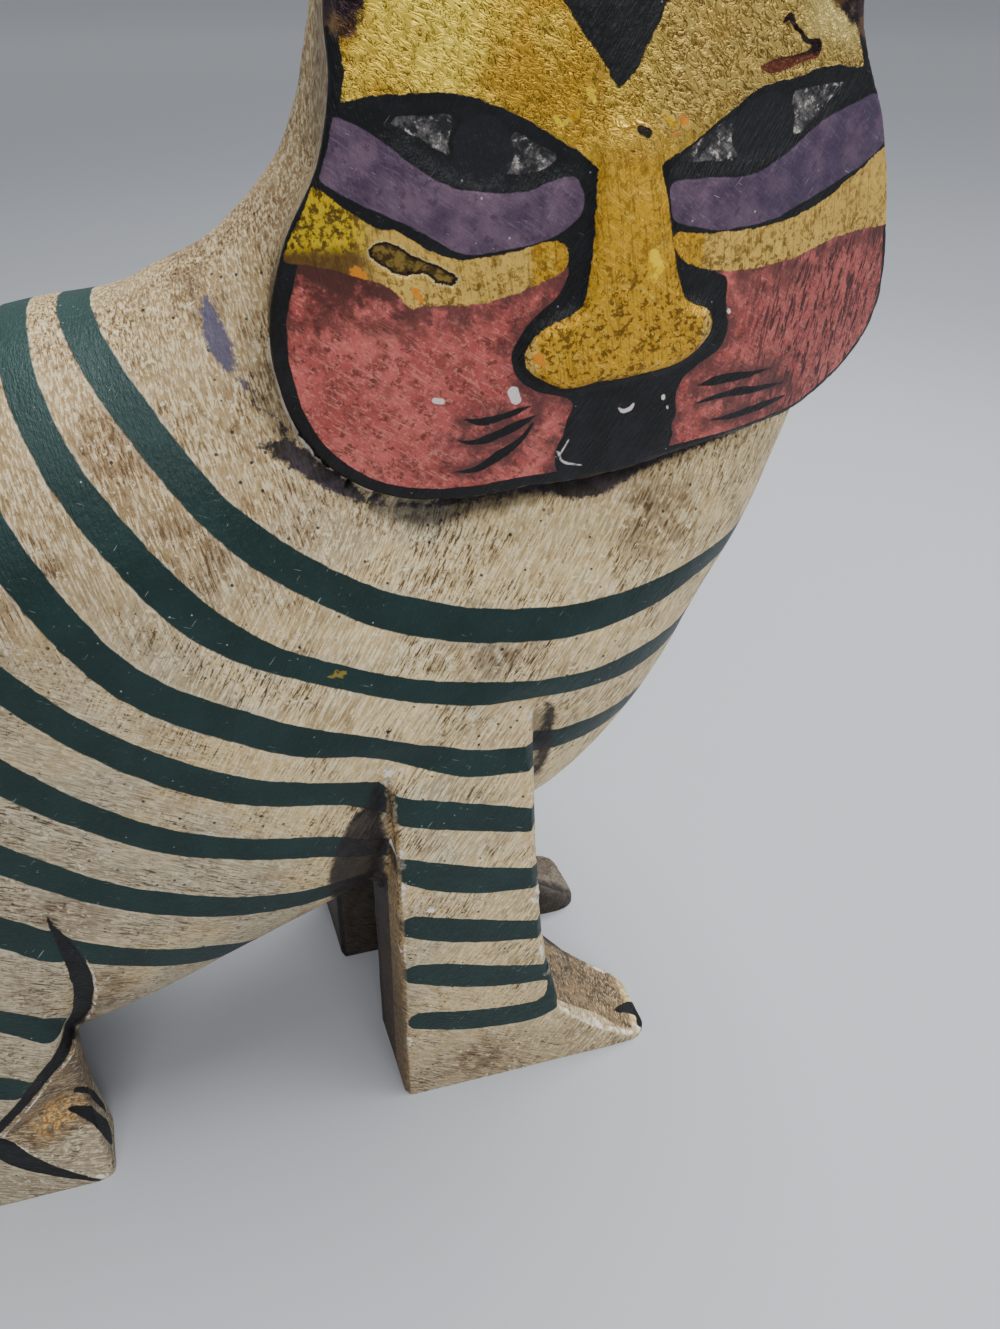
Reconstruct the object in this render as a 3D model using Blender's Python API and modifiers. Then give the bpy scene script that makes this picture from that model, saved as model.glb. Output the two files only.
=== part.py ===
"""A cat figurine carved from one thick plank: sawn to its side outline, rounded over, painted.

X runs forward along the cat, Y across the plank, Z up, in metres. The head is turned a quarter,
so the face looks along -Y. The soles stand on Z = 0, and the origin is under the box's middle.
"""

import bmesh
import bpy
import numpy as np

# The plank and the carver's roundings
PLANK = 0.082
HALF = PLANK / 2
BODY_ROUND = 0.050
HEAD_ROUND = 0.040
ARRIS = 0.0015

# The face, turned to one broad side of the plank
FACE_X = 0.046
FACE_Z = 0.225
FACE_TILT = np.radians(3.0)
FACE_HALF_WIDTH = 0.0565
FACE_HALF_HEIGHT = 0.045
FACE_SAG = 0.013
FACE_SAG_UP = 0.25
NOSE_PROUD = 0.003
NOSE_RELIEF = 0.0022
NOSE_SLOPE = 0.0025
NOSE_SHIFT = 0.001
THROAT_DENT = 0.013
THROAT_FADE = 0.016
NECK_BLEND_FRONT = 0.003
NECK_BLEND_BACK = 0.008
NECK_BLEND_FADE = 0.030
HEAD_DRAFT = 0.12

# The legs, cut apart by a saw slot along the middle of the plank
LEG_THICK = 0.029
LEG_SKEW = 0.10
LEG_BLEND = 0.002
LEG_LEAN = 0.08
LEG_LEAN_FROM = 0.105
LEG_STEP = 0.0050
LEG_STEP_FADE = 0.012
LEG_STEP_EASE = 0.016
LEG_STEP_TOP_BACK = 0.130
LEG_STEP_TOP_FRONT = 0.140
LEG_STEP_TOP_FROM_X = 0.010
LEG_STEP_TOP_TO_X = 0.030
FAR_LEG_WIDER = 0.006
FAR_LEG_WIDER_TO_X = 0.040
THIGH_ROUND = 0.020
THIGH_ROUND_FROM_X = -0.100
THIGH_ROUND_TO_X = -0.110
THIGH_ROUND_FROM_Z = 0.030
THIGH_ROUND_TO_Z = 0.050
SOLE_Z = -0.0035
FRONT_TOE_X = 0.0625
HIND_TOE_X = -0.0905
FRONT_TOE_NARROWS = (0.0030, 0.046, 0.064)
HIND_TOE_NARROWS = (0.0040, -0.108, -0.092)
NEAR_HIND_SPLAY = 0.0025
SPLAY_FROM_Z = 0.050
FRONT_FACET = 6.0
HIND_FACET = 0.6
FACET_REACH = 0.2

# The ears and the tail
EAR_TIP = (0.0345, 0.074)
EAR_BASE = ((0.010, 0.038), (0.0395, 0.034))
EAR_ROOT = ((0.010, 0.020), (0.040, 0.020))
EAR_THICK = 0.024
EAR_MIDDLE = -0.021
EAR_TIP_ROUND = 0.006
EAR_EDGE_ROUND = 0.008
EAR_BLEND = 0.004
TAIL_RADIUS = 0.0105
TAIL_TIP_RADIUS = 0.0065
TAIL_BLEND = 0.006

# How fine the carving is worked
GRID = 0.001
GRID_MARGIN = 0.12
BOARD_SHARE = 0.8
EAR_INSET = 0.002
ROUGH_VOXEL = 0.0024
EVEN_ROUNDS = 7
LAST_ROUNDS = 3
EVEN_SHARE = 0.5
MOST_STEP = 0.004
LEAST_SLOPE = 0.05
PROBE = 0.0003
MERGE = 1e-6
TRIANGLES = 8600

CREAM = (0.50, 0.44, 0.34, 1)
PAINT_ROUGHNESS = 0.55

BODY_OUTLINE = (
    (0.104, 0.205), (0.104, 0.188), (0.099, 0.172), (0.0935, 0.157), (0.0855, 0.141), (0.075, 0.118),
    (0.062, 0.099), (0.046, 0.083), (0.025, 0.070), (0.000, 0.062), (-0.030, 0.050), (-0.060, 0.037),
    (-0.090, 0.029), (-0.125, 0.030), (-0.154, 0.046), (-0.172, 0.074), (-0.178, 0.107),
    (-0.168, 0.143), (-0.143, 0.176), (-0.102, 0.202), (-0.058, 0.2125), (-0.037, 0.2150),
    (-0.0287, 0.2182), (-0.0192, 0.2219), (-0.0115, 0.2275), (-0.0054, 0.2333), (-0.0018, 0.2381),
    (0.0016, 0.2455), (0.0040, 0.2525), (0.0090, 0.2580), (0.020, 0.2590), (0.050, 0.2510),
    (0.078, 0.2420), (0.095, 0.227),
)
FACE_OUTLINE = (
    (0.000, -0.0385), (0.0150, -0.0365), (0.0280, -0.0356), (0.0380, -0.0348), (0.0450, -0.0325),
    (0.0520, -0.0283), (0.0570, -0.0230), (0.0588, -0.0170), (0.0580, -0.0100), (0.0560, -0.0016),
    (0.0538, 0.0067), (0.0505, 0.0150), (0.0466, 0.0220), (0.0434, 0.0290), (0.0424, 0.0370),
    (0.0370, 0.0450), (0.0220, 0.0490), (0.0000, 0.0495), (-0.0220, 0.0490), (-0.0370, 0.0450),
    (-0.0410, 0.0370), (-0.0414, 0.0290), (-0.0434, 0.0216), (-0.0464, 0.0150), (-0.0515, 0.0070),
    (-0.0553, -0.0020), (-0.0570, -0.0100), (-0.0568, -0.0180), (-0.0552, -0.0255),
    (-0.0513, -0.0323), (-0.0456, -0.0372), (-0.0378, -0.0400), (-0.0280, -0.0404),
    (-0.0150, -0.0392),
)
NOSE_OUTLINE_HALF = (
    (0.0000, 0.0260), (0.0050, 0.0240), (0.0060, 0.0120), (0.0068, -0.0020), (0.0095, -0.0075),
    (0.0150, -0.0085), (0.0175, -0.0125), (0.0155, -0.0175), (0.0080, -0.0200), (0.0000, -0.0205),
)
FRONT_LEG = (
    (0.0015, 0.130), (0.0020, 0.100), (-0.0018, -0.010), (0.0728, -0.010), (0.0730, -0.001),
    (0.0655, 0.005), (0.0555, 0.013), (0.0475, 0.023), (0.0420, 0.035), (0.0390, 0.047),
    (0.0365, 0.075), (0.0350, 0.110), (0.0345, 0.135), (0.0180, 0.145),
)
HIND_LEG = (
    (-0.0815, -0.010), (-0.0822, 0.000), (-0.0830, 0.012), (-0.0826, 0.028), (-0.0795, 0.045),
    (-0.0748, 0.062),
    (-0.0710, 0.081), (-0.0725, 0.100), (-0.0800, 0.120), (-0.0980, 0.141), (-0.1300, 0.150),
    (-0.1600, 0.135), (-0.1720, 0.108), (-0.1710, 0.076), (-0.1610, 0.050), (-0.1550, 0.030),
    (-0.1550, 0.012), (-0.1570, -0.010),
)
FRONT_NOTCH = ((0.0390, 0.050), (0.0437, 0.0215), (0.0556, 0.0080), (0.0660, 0.0000),
               (0.0750, -0.0020))
HIND_NOTCH = ((-0.0705, 0.080), (-0.0765, 0.061), (-0.1045, 0.0245), (-0.0835, -0.0035))
TAIL_PATH = ((-0.150, 0.165), (-0.170, 0.140), (-0.1795, 0.108), (-0.176, 0.078), (-0.166, 0.052))


def smooth_loop(points, steps=6):
    """A closed Catmull-Rom curve through the points."""
    p = np.array(points)
    before, after, next_after = np.roll(p, 1, 0), np.roll(p, -1, 0), np.roll(p, -2, 0)
    out = []
    for t in np.arange(steps) / steps:
        out.append(0.5 * (2 * p + (after - before) * t
                          + (2 * before - 5 * p + 4 * after - next_after) * t ** 2
                          + (3 * p - before - 3 * after + next_after) * t ** 3))
    return np.stack(out, axis=1).reshape(-1, 2)


def nose_outline():
    right = np.array(NOSE_OUTLINE_HALF)
    return np.concatenate([right, right[-2:0:-1] * (-1, 1)]) + (NOSE_SHIFT, 0)


def ramp(value, start, end):
    return np.clip((value - start) / (end - start), 0, 1)


def segment_distance(x, z, a, b):
    run = np.subtract(b, a)
    along = np.clip(((x - a[0]) * run[0] + (z - a[1]) * run[1]) / (run @ run), 0, 1)
    return np.hypot(x - a[0] - along * run[0], z - a[1] - along * run[1])


def within(x, z, loop):
    """True inside a closed loop, by counting the sides that a level line crosses."""
    inside = np.zeros(np.broadcast(x, z).shape, bool)
    for a, b in zip(loop, np.roll(loop, -1, 0)):
        if a[1] != b[1]:
            crosses = (a[1] > z) != (b[1] > z)
            inside ^= crosses & (x < a[0] + (z - a[1]) * (b[0] - a[0]) / (b[1] - a[1]))
    return inside


class Outline:
    """The signed distance to a closed side outline, below zero inside, kept on a fine grid."""

    def __init__(self, loop):
        self.low = loop.min(0) - GRID_MARGIN
        counts = ((loop.max(0) + GRID_MARGIN - self.low) / GRID).astype(int) + 2
        x = self.low[0] + GRID * np.arange(counts[0])[:, None]
        z = self.low[1] + GRID * np.arange(counts[1])[None, :]
        sides = zip(loop, np.roll(loop, -1, 0))
        nearest = np.min([segment_distance(x, z, a, b) for a, b in sides], axis=0)
        self.cells = np.where(within(x, z, loop), -nearest, nearest)

    def __call__(self, x, z):
        u = np.clip((x - self.low[0]) / GRID, 0, self.cells.shape[0] - 1.001)
        v = np.clip((z - self.low[1]) / GRID, 0, self.cells.shape[1] - 1.001)
        i, j = u.astype(int), v.astype(int)
        u, v = u - i, v - j
        c = self.cells
        return ((c[i, j] * (1 - u) + c[i + 1, j] * u) * (1 - v)
                + (c[i, j + 1] * (1 - u) + c[i + 1, j + 1] * u) * v)


def soft_min(a, b, width):
    mix = np.clip(0.5 + 0.5 * (b - a) / width, 0, 1)
    return b + (a - b) * mix - width * mix * (1 - mix)


def soft_max(a, b, width):
    return -soft_min(-a, -b, width)


def rounded_over(edge, side, half, reach):
    """An elliptical rounding: reach deep from the outline, and half of the plank across."""
    inward = np.clip((edge + reach) / reach, 0, None)
    return (np.hypot(inward, side / half) - 1) * half


def notch_depth(x, z, corner_line, slope):
    """How far a foot's upper side facet falls back, from its two edges to the middle."""
    edges = [segment_distance(x, z, a, b) for a, b in zip(corner_line, corner_line[1:])]
    line = np.array(corner_line)
    ring = np.concatenate([line, line[[-1, 0]] + (FACET_REACH, 0)])
    return np.where(within(x, z, ring), slope * np.min(edges, axis=0), 0)


def face_place(x, z):
    """Across and up on the tilted face, from its middle."""
    across, up = x - FACE_X, z - FACE_Z
    cos, sin = np.cos(FACE_TILT), np.sin(FACE_TILT)
    return across * cos + up * sin, up * cos - across * sin


class Carving:
    """The carver's form as one signed field: below zero in the wood."""

    def __init__(self):
        self.body = Outline(smooth_loop(BODY_OUTLINE))
        self.face = Outline(smooth_loop(FACE_OUTLINE, 4))
        self.nose = Outline(smooth_loop(nose_outline(), 4))
        self.front = Outline(np.array(FRONT_LEG))
        self.hind = Outline(smooth_path(HIND_LEG, 3))

    def face_front(self, across, up):
        sag = (across / FACE_HALF_WIDTH) ** 2 + FACE_SAG_UP * (up / FACE_HALF_HEIGHT) ** 2
        nose = np.clip(0.5 - self.nose(across, up) / NOSE_SLOPE, 0, 1)
        nose = NOSE_RELIEF * nose ** 2 * (3 - 2 * nose)
        return NOSE_RELIEF - HALF - NOSE_PROUD + FACE_SAG * sag - nose

    def leg_step(self, x, z):
        """How far the trunk falls back around the front leg's upper end."""
        forward = ramp(x, LEG_STEP_TOP_FROM_X, LEG_STEP_TOP_TO_X)
        top = LEG_STEP_TOP_BACK + (LEG_STEP_TOP_FRONT - LEG_STEP_TOP_BACK) * forward
        depth = LEG_STEP * ramp(top - z, 0, LEG_STEP_EASE)
        return depth * np.exp(-np.clip(self.front(x, z), 0, None) / LEG_STEP_FADE)

    def trunk(self, x, y, z, face_edge):
        dent = THROAT_DENT * np.exp(-np.clip(face_edge, 0, None) / THROAT_FADE)
        half = np.where(y < 0, HALF - dent, HALF) - self.leg_step(x, z)
        return rounded_over(self.body(x, z), np.abs(y), half, BODY_ROUND)

    def head(self, across, y, up, face_edge):
        front = self.face_front(across, up)
        edge = face_edge + HEAD_DRAFT * (y - front)
        back = rounded_over(edge, np.clip(y, 0, None), HALF, HEAD_ROUND)
        wall = np.where(y > 0, back, edge)
        return soft_max(wall, front - y, ARRIS)

    def leg(self, outline, x, y, z, toe_x, narrows, corner_line, slope, splay=0.0):
        wider = np.where(y > 0, FAR_LEG_WIDER, 0) * ramp(x, FAR_LEG_WIDER_TO_X, 0)
        x = x + LEG_SKEW * (y + HALF) + wider
        side = np.abs(y) - np.where(y < 0, splay, 0) * ramp(z, SPLAY_FROM_Z, SOLE_Z)
        less, narrow_from, narrow_to = narrows
        less = less * ramp(x, narrow_from, narrow_to)
        half = LEG_THICK / 2 - less
        off_middle = np.abs(side - HALF + LEG_THICK / 2 - np.where(y < 0, less, -less))
        slab = np.cbrt(np.clip(x - toe_x, 0, None) ** 3 + off_middle ** 3) - half
        lean = LEG_LEAN * np.clip(z - LEG_LEAN_FROM, 0, None)
        facet = side - HALF + notch_depth(x, z, corner_line, slope) + lean
        thigh = (ramp(x, THIGH_ROUND_FROM_X, THIGH_ROUND_TO_X)
                 * ramp(z, THIGH_ROUND_FROM_Z, THIGH_ROUND_TO_Z))
        blunt = ARRIS + THIGH_ROUND * thigh
        return soft_max(soft_max(outline(x, z), slab, blunt), facet, ARRIS)

    def ear(self, across, y, up):
        off = np.abs(across)
        inner, outer, tip = np.array(EAR_BASE[0]), np.array(EAR_BASE[1]), np.array(EAR_TIP)
        sides = (half_plane(off, up, tip, inner), half_plane(off, up, outer, tip))
        edge = np.maximum(soft_max(*sides, EAR_TIP_ROUND), EAR_ROOT[0][1] - up)
        slab = np.abs(y - EAR_MIDDLE) - EAR_THICK / 2
        return soft_max(edge, slab, EAR_EDGE_ROUND)

    def tail(self, x, y, z):
        path = smooth_path(TAIL_PATH)
        found = np.full(np.shape(x), 1.0)
        for i, (a, b) in enumerate(zip(path, path[1:])):
            radius = TAIL_RADIUS + (TAIL_TIP_RADIUS - TAIL_RADIUS) * i / (len(path) - 1)
            found = np.minimum(found, np.hypot(segment_distance(x, z, a, b), y) - radius)
        return found

    def __call__(self, p):
        x, y, z = p[:, 0], p[:, 1], p[:, 2]
        across, up = face_place(x, z)
        face_edge = self.face(across, up)
        wood = self.trunk(x, y, z, face_edge)
        behind = ramp(y, -NECK_BLEND_FADE, 0)
        blend = NECK_BLEND_FRONT + (NECK_BLEND_BACK - NECK_BLEND_FRONT) * behind
        wood = soft_min(wood, self.head(across, y, up, face_edge), blend)
        front = self.leg(self.front, x, y, z, FRONT_TOE_X, FRONT_TOE_NARROWS, FRONT_NOTCH, FRONT_FACET)
        hind = self.leg(self.hind, x, y, z, HIND_TOE_X, HIND_TOE_NARROWS, HIND_NOTCH, HIND_FACET,
                        NEAR_HIND_SPLAY)
        wood = soft_min(soft_min(wood, front, LEG_BLEND), hind, LEG_BLEND)
        wood = soft_min(wood, self.ear(across, y, up), EAR_BLEND)
        return soft_min(wood, self.tail(x, y, z), TAIL_BLEND)


def half_plane(x, z, a, b):
    """The signed distance to a line from a to b, above zero on its right."""
    run = np.subtract(b, a) / np.hypot(*np.subtract(b, a))
    return (x - a[0]) * run[1] - (z - a[1]) * run[0]


def smooth_path(points, steps=5):
    p = np.array(points)
    p = np.concatenate([[2 * p[0] - p[1]], p, [2 * p[-1] - p[-2]]])
    out = []
    for a, b, c, d in zip(p, p[1:], p[2:], p[3:]):
        for t in np.arange(steps) / steps:
            out.append(0.5 * (2 * b + (c - a) * t + (2 * a - 5 * b + 4 * c - d) * t ** 2
                              + (3 * b - a - 3 * c + d) * t ** 3))
    out.append(p[-2])
    return np.array(out)


def plain_mesh(owner, name):
    """The owner's shape as a plain mesh object, and the owner gone."""
    graph = bpy.context.evaluated_depsgraph_get()
    mesh = bpy.data.meshes.new_from_object(owner.evaluated_get(graph))
    mesh.transform(owner.matrix_world)
    bpy.data.objects.remove(owner)
    made = bpy.data.objects.new(name, mesh)
    bpy.context.scene.collection.objects.link(made)
    return made


def sawn(name, loop, low_y, high_y):
    """A board sawn to a side outline, from one depth to another across the plank."""
    curve = bpy.data.curves.new(name, "CURVE")
    curve.dimensions = "2D"
    curve.fill_mode = "BOTH"
    curve.extrude = (high_y - low_y) / 2
    spline = curve.splines.new("POLY")
    spline.points.add(len(loop) - 1)
    spline.points.foreach_set("co", [c for x, z in loop for c in (x, z, 0, 1)])
    spline.use_cyclic_u = True
    board = bpy.data.objects.new(name, curve)
    bpy.context.scene.collection.objects.link(board)
    board.rotation_euler.x = np.pi / 2
    board.location.y = (low_y + high_y) / 2
    bpy.context.view_layer.update()
    board = plain_mesh(board, name)
    work = bmesh.new()
    work.from_mesh(board.data)
    bmesh.ops.remove_doubles(work, verts=work.verts, dist=MERGE)
    work.to_mesh(board.data)
    work.free()
    return board


def tail_rod():
    curve = bpy.data.curves.new("tail", "CURVE")
    curve.dimensions = "3D"
    curve.bevel_depth = TAIL_RADIUS
    curve.bevel_resolution = 2
    curve.use_fill_caps = True
    path = smooth_path(TAIL_PATH)
    spline = curve.splines.new("POLY")
    spline.points.add(len(path) - 1)
    spline.points.foreach_set("co", [c for x, z in path for c in (x, 0, z, 1)])
    rod = bpy.data.objects.new("tail", curve)
    bpy.context.scene.collection.objects.link(rod)
    bpy.context.view_layer.update()
    return plain_mesh(rod, "tail")


def turned_outline(loop):
    """Face coordinates back to the plank's."""
    cos, sin = np.cos(FACE_TILT), np.sin(FACE_TILT)
    return np.stack([FACE_X + loop[:, 0] * cos - loop[:, 1] * sin,
                     FACE_Z + loop[:, 0] * sin + loop[:, 1] * cos], axis=1)


def blocked_out():
    """The rough block: boards for the trunk, head, ears and legs, and the tail, in one mesh."""
    thick = HALF * BOARD_SHARE
    boards = [sawn("trunk", smooth_loop(BODY_OUTLINE, 3), -thick, thick),
              sawn("head", turned_outline(smooth_loop(FACE_OUTLINE, 2)), -HALF, thick)]
    for mirror in (-1, 1):
        ear = (EAR_ROOT[0], EAR_BASE[0], EAR_TIP, EAR_BASE[1], EAR_ROOT[1])
        boards.append(sawn("ear", turned_outline(np.array(ear) * (mirror, 1)),
                           EAR_MIDDLE - EAR_THICK / 2 + EAR_INSET,
                           EAR_MIDDLE + EAR_THICK / 2 - EAR_INSET))
        near, far = sorted((mirror * HALF, mirror * (HALF - LEG_THICK)))
        for outline in (FRONT_LEG, HIND_LEG):
            shifted = np.array(outline) - (LEG_SKEW * ((near + far) / 2 + HALF), 0)
            boards.append(sawn("leg", shifted, near, far))
    boards.append(tail_rod())
    joined = bmesh.new()
    for board in boards:
        joined.from_mesh(board.data)
        bpy.data.objects.remove(board)
    mesh = bpy.data.meshes.new("cat")
    joined.to_mesh(mesh)
    joined.free()
    block = bpy.data.objects.new("cat", mesh)
    bpy.context.scene.collection.objects.link(block)
    remesh = block.modifiers.new("one block", "REMESH")
    remesh.mode = "VOXEL"
    remesh.voxel_size = ROUGH_VOXEL
    return plain_mesh(block, "cat")


def places(mesh):
    found = np.empty(len(mesh.vertices) * 3)
    mesh.vertices.foreach_get("co", found)
    return found.reshape(-1, 3)


def slope_of(form, p):
    slope = np.empty_like(p)
    for axis in range(3):
        shift = np.zeros(3)
        shift[axis] = PROBE
        slope[:, axis] = (form(p + shift) - form(p - shift)) / (2 * PROBE)
    return slope


def carved(block, form):
    """Each point of the block moves along the form's slope till it lies on its surface."""
    p = places(block.data)
    edges = np.empty(len(block.data.edges) * 2, int)
    block.data.edges.foreach_get("vertices", edges)
    a, b = edges.reshape(-1, 2).T
    count = np.bincount(a, minlength=len(p)) + np.bincount(b, minlength=len(p))
    for turn in range(EVEN_ROUNDS + LAST_ROUNDS):
        if turn < EVEN_ROUNDS:
            total = np.zeros_like(p)
            np.add.at(total, a, p[b])
            np.add.at(total, b, p[a])
            p += EVEN_SHARE * (total / count[:, None] - p)
        slope = slope_of(form, p)
        steep = np.maximum((slope ** 2).sum(1), LEAST_SLOPE)
        step = (form(p) / steep)[:, None] * slope
        length = np.linalg.norm(step, axis=1, keepdims=True)
        p -= step * (MOST_STEP / np.maximum(length, MOST_STEP))
    block.data.vertices.foreach_set("co", p.ravel())
    block.data.update()


def flat_soles(cat):
    """A flat cut under the feet."""
    bpy.ops.mesh.primitive_cube_add(size=1, location=(0, 0, SOLE_Z - 0.5))
    ground = bpy.context.object
    ground.name = "ground_cutter"
    cut = cat.modifiers.new("soles", "BOOLEAN")
    cut.operation = "DIFFERENCE"
    cut.object = ground
    made = plain_mesh(cat, "cat")
    bpy.data.objects.remove(ground)
    return made


def painted_wood():
    paint = bpy.data.materials.new("painted_wood")
    paint.use_nodes = True
    shader = paint.node_tree.nodes["Principled BSDF"]
    shader.inputs["Base Color"].default_value = CREAM
    shader.inputs["Roughness"].default_value = PAINT_ROUGHNESS
    return paint


def main():
    for old in list(bpy.data.objects):
        bpy.data.objects.remove(old)
    collection = bpy.data.collections.new("carved_wooden_cat")
    bpy.context.scene.collection.children.link(collection)
    cat = blocked_out()
    carved(cat, Carving())
    fewer = cat.modifiers.new("fewer facets", "DECIMATE")
    fewer.ratio = TRIANGLES / (2 * len(cat.data.polygons))
    cat = flat_soles(plain_mesh(cat, "cat"))
    p = places(cat.data)
    middle = (p.min(0) + p.max(0)) / 2
    cat.data.vertices.foreach_set("co", (p - (middle[0], middle[1], SOLE_Z)).ravel())
    cat.data.update()
    cat.data.materials.clear()
    cat.data.materials.append(painted_wood())
    bpy.context.scene.collection.objects.unlink(cat)
    collection.objects.link(cat)


main()
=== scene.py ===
"""The looks of a carved and painted wooden cat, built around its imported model.

X runs forward along the cat, Y across the plank, Z up, in metres. The carver's own measures put
X = 0 at the heel of the near front foot, and every outline and paint line here is in them. `shift`
carries them to the frame. The face lies across the plank, and has its own across and up.
"""

import functools

import bmesh
import bpy
import numpy as np
from mathutils import Matrix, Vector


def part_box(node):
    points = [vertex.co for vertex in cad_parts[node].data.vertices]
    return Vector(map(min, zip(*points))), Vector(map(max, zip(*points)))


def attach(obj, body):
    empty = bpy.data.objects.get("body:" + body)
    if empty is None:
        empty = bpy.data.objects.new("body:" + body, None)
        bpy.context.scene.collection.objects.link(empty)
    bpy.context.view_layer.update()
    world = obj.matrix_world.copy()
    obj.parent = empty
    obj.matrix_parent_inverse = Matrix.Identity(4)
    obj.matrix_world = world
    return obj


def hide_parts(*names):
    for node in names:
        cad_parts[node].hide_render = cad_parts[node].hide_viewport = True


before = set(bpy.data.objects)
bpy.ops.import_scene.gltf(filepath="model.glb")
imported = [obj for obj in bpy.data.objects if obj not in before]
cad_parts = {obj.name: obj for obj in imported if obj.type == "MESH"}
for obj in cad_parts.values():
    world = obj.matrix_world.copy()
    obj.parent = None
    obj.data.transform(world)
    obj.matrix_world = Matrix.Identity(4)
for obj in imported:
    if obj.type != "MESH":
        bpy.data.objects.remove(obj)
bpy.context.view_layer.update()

MM = 0.001

# The plank and the carver's roundings
HALF = 0.041
BODY_ROUND = 0.050
HEAD_ROUND = 0.040
ARRIS = 0.0010
PLATE_ARRIS = 0.0008

# The face, turned to one broad side of the plank
FACE_X = 0.046
FACE_Z = 0.225
FACE_TILT = np.radians(3.0)
FACE_HALF_WIDTH = 0.0565
FACE_HALF_HEIGHT = 0.045
FACE_SAG = 0.013
FACE_SAG_UP = 0.25
NOSE_PROUD = 0.003
NOSE_RELIEF = 0.0022
NOSE_SLOPE = 0.0018
THROAT_DENT = 0.013
THROAT_FADE = 0.016
THROAT_CREVICE = 0.0025
THROAT_CREVICE_FADE = 0.0035
NECK_BLEND_FRONT = 0.0015
NECK_BLEND_BACK = 0.008
NECK_BLEND_FADE = 0.030
HEAD_DRAFT = 0.12

# The legs, cut apart by a saw slot along the middle of the plank
LEG_THICK = 0.029
LEG_SKEW = 0.10
LEG_BLEND = 0.0010
LEG_LEAN = 0.08
LEG_LEAN_FROM = 0.105
LEG_STEP = 0.0050
LEG_STEP_FADE = 0.012
LEG_STEP_EASE = 0.016
LEG_STEP_TOP_BACK = 0.130
LEG_STEP_TOP_FRONT = 0.140
LEG_STEP_TOP_FROM_X = 0.010
LEG_STEP_TOP_TO_X = 0.030
FAR_LEG_WIDER = 0.006
FAR_LEG_WIDER_TO_X = 0.040
THIGH_ROUND = 0.020
THIGH_ROUND_FROM_X = -0.100
THIGH_ROUND_TO_X = -0.110
THIGH_ROUND_FROM_Z = 0.030
THIGH_ROUND_TO_Z = 0.050
SOLE_Z = -0.0035
FRONT_TOE_X = 0.0625
HIND_TOE_X = -0.0905
FRONT_TOE_NARROWS = (0.0030, 0.046, 0.064)
HIND_TOE_NARROWS = (0.0040, -0.108, -0.092)
NEAR_HIND_SPLAY = 0.0025
SPLAY_FROM_Z = 0.050
FRONT_FACET = 6.0
HIND_FACET = 0.6
FACET_REACH = 0.2

# The ears and the tail
EAR_TIP = (0.0345, 0.074)
EAR_BASE = ((0.010, 0.038), (0.0395, 0.034))
EAR_ROOT = 0.020
EAR_THICK = 0.024
EAR_MIDDLE = -0.021
EAR_TIP_ROUND = 0.006
EAR_EDGE_ROUND = 0.006
EAR_BLEND = 0.004
EAR_HOLLOW = 0.006
EAR_RIM = 0.0030
EAR_RIM_FADE = 0.0050
TAIL_RADIUS = 0.0105
TAIL_TIP_RADIUS = 0.0065
TAIL_BLEND = 0.006

# Knife cuts and paint relief
LINE_GROOVE = 0.0011
LINE_GROOVE_FADE = 0.0012
EYE_SUNK = 0.0007
EYE_FADE = 0.0020
PEEL_SUNK = 0.0004
KNIFE_DEPTH = 0.00045
KNIFE_SIZE = 0.011
KNIFE_DETAIL = 1.5
KNIFE_SEED = 7

# How fine the surface is worked
BODY_GRID = 0.001
PAINT_GRID = 0.0004
FORM_MARGIN = 0.12
PAINT_MARGIN = 0.012
VOXEL = 0.0021
SOLE_STRETCH = 0.006
EVEN_SHARE = 0.5
MOST_STEP = 0.003
LEAST_SLOPE = 0.05
PROBE = 0.0002
MERGE = 1e-6
BAND_REACH = 0.006
CREVICE_PROBE = 0.006
ARRIS_PROBE = 0.0025
CRISP = 0.25
FACE_REACH = 0.0025
FACE_SKIN = 0.004
STROKE_REACH = 0.0012
LINE_REACH = 0.003
EARS_FROM_Z = 0.24

# Where the carved wood's lowest corner lies in the carver's measures
CARVED_LOW_X = -0.18827
CARVED_LOW_Y = -0.04397

# The black border that the face's paint leaves along the plate
PLATE_FRONT_DEPTH = 0.0012
BORDER_LEFT = 0.0028
BORDER_RIGHT = 0.0012
BORDER_TOP = 0.0016
BORDER_FROM = -0.010
BORDER_TO = 0.030
LID_BORDER = 0.5
BAND_BORDER = 0.4

# Where the other marks stop. A mark is the depth inside a painted, worn or painted-shade place, and
# CLEAR, well outside, where there can be none.
CLEAR = -0.01
HOLLOW_FROM = 0.041
HOLLOW_RIM = 1.4
EAR_FRONT = 0.25
STRIPE_TURN = 0.02
STRIPE_TURN_FROM = 0.006
TOE_BLACK_TOP = 0.014
TOE_FRONT_X = (-0.0905, -0.076)
TOE_FRONT_TOP = 0.032
TIP_X = 0.0745
TIP_TOP = 0.020
TIP_LEAN = 0.3
SHADOW_AND_SMUDGE_THINS = 0.005
SHADOW_AND_SMUDGE_THINS_Y = (-0.012, 0.008)
RIM_WIDE = 0.0012
RIM_TOP = -0.010
RIM_NEAR_Y = -0.015
HEEL_TURN = 0.5
HEEL_TOP = 0.118
HEEL_TOP_FADE = 4
HEEL_X = 0.008
HEEL_X_FADE = 9
SLOT_HALF = 0.017
SLOT_TOP = 0.080
SLOT_FROM_X = -0.150
INSTEP_FROM_X = 0.040
INSTEP_TOP = 0.050
INSTEP_FACES = (0.6, 0, 0.8)
INSTEP_TURN = 0.42
INSTEP_FADE = 0.01
SHIN_X = (-0.106, -0.074)
SHIN_FROM_Y = 0.014
SHIN_EDGE = 0.0004
SHIN_CLEAR = -0.006
WORN_TOP = 0.132
WORN_FROM_X = -0.065

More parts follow.
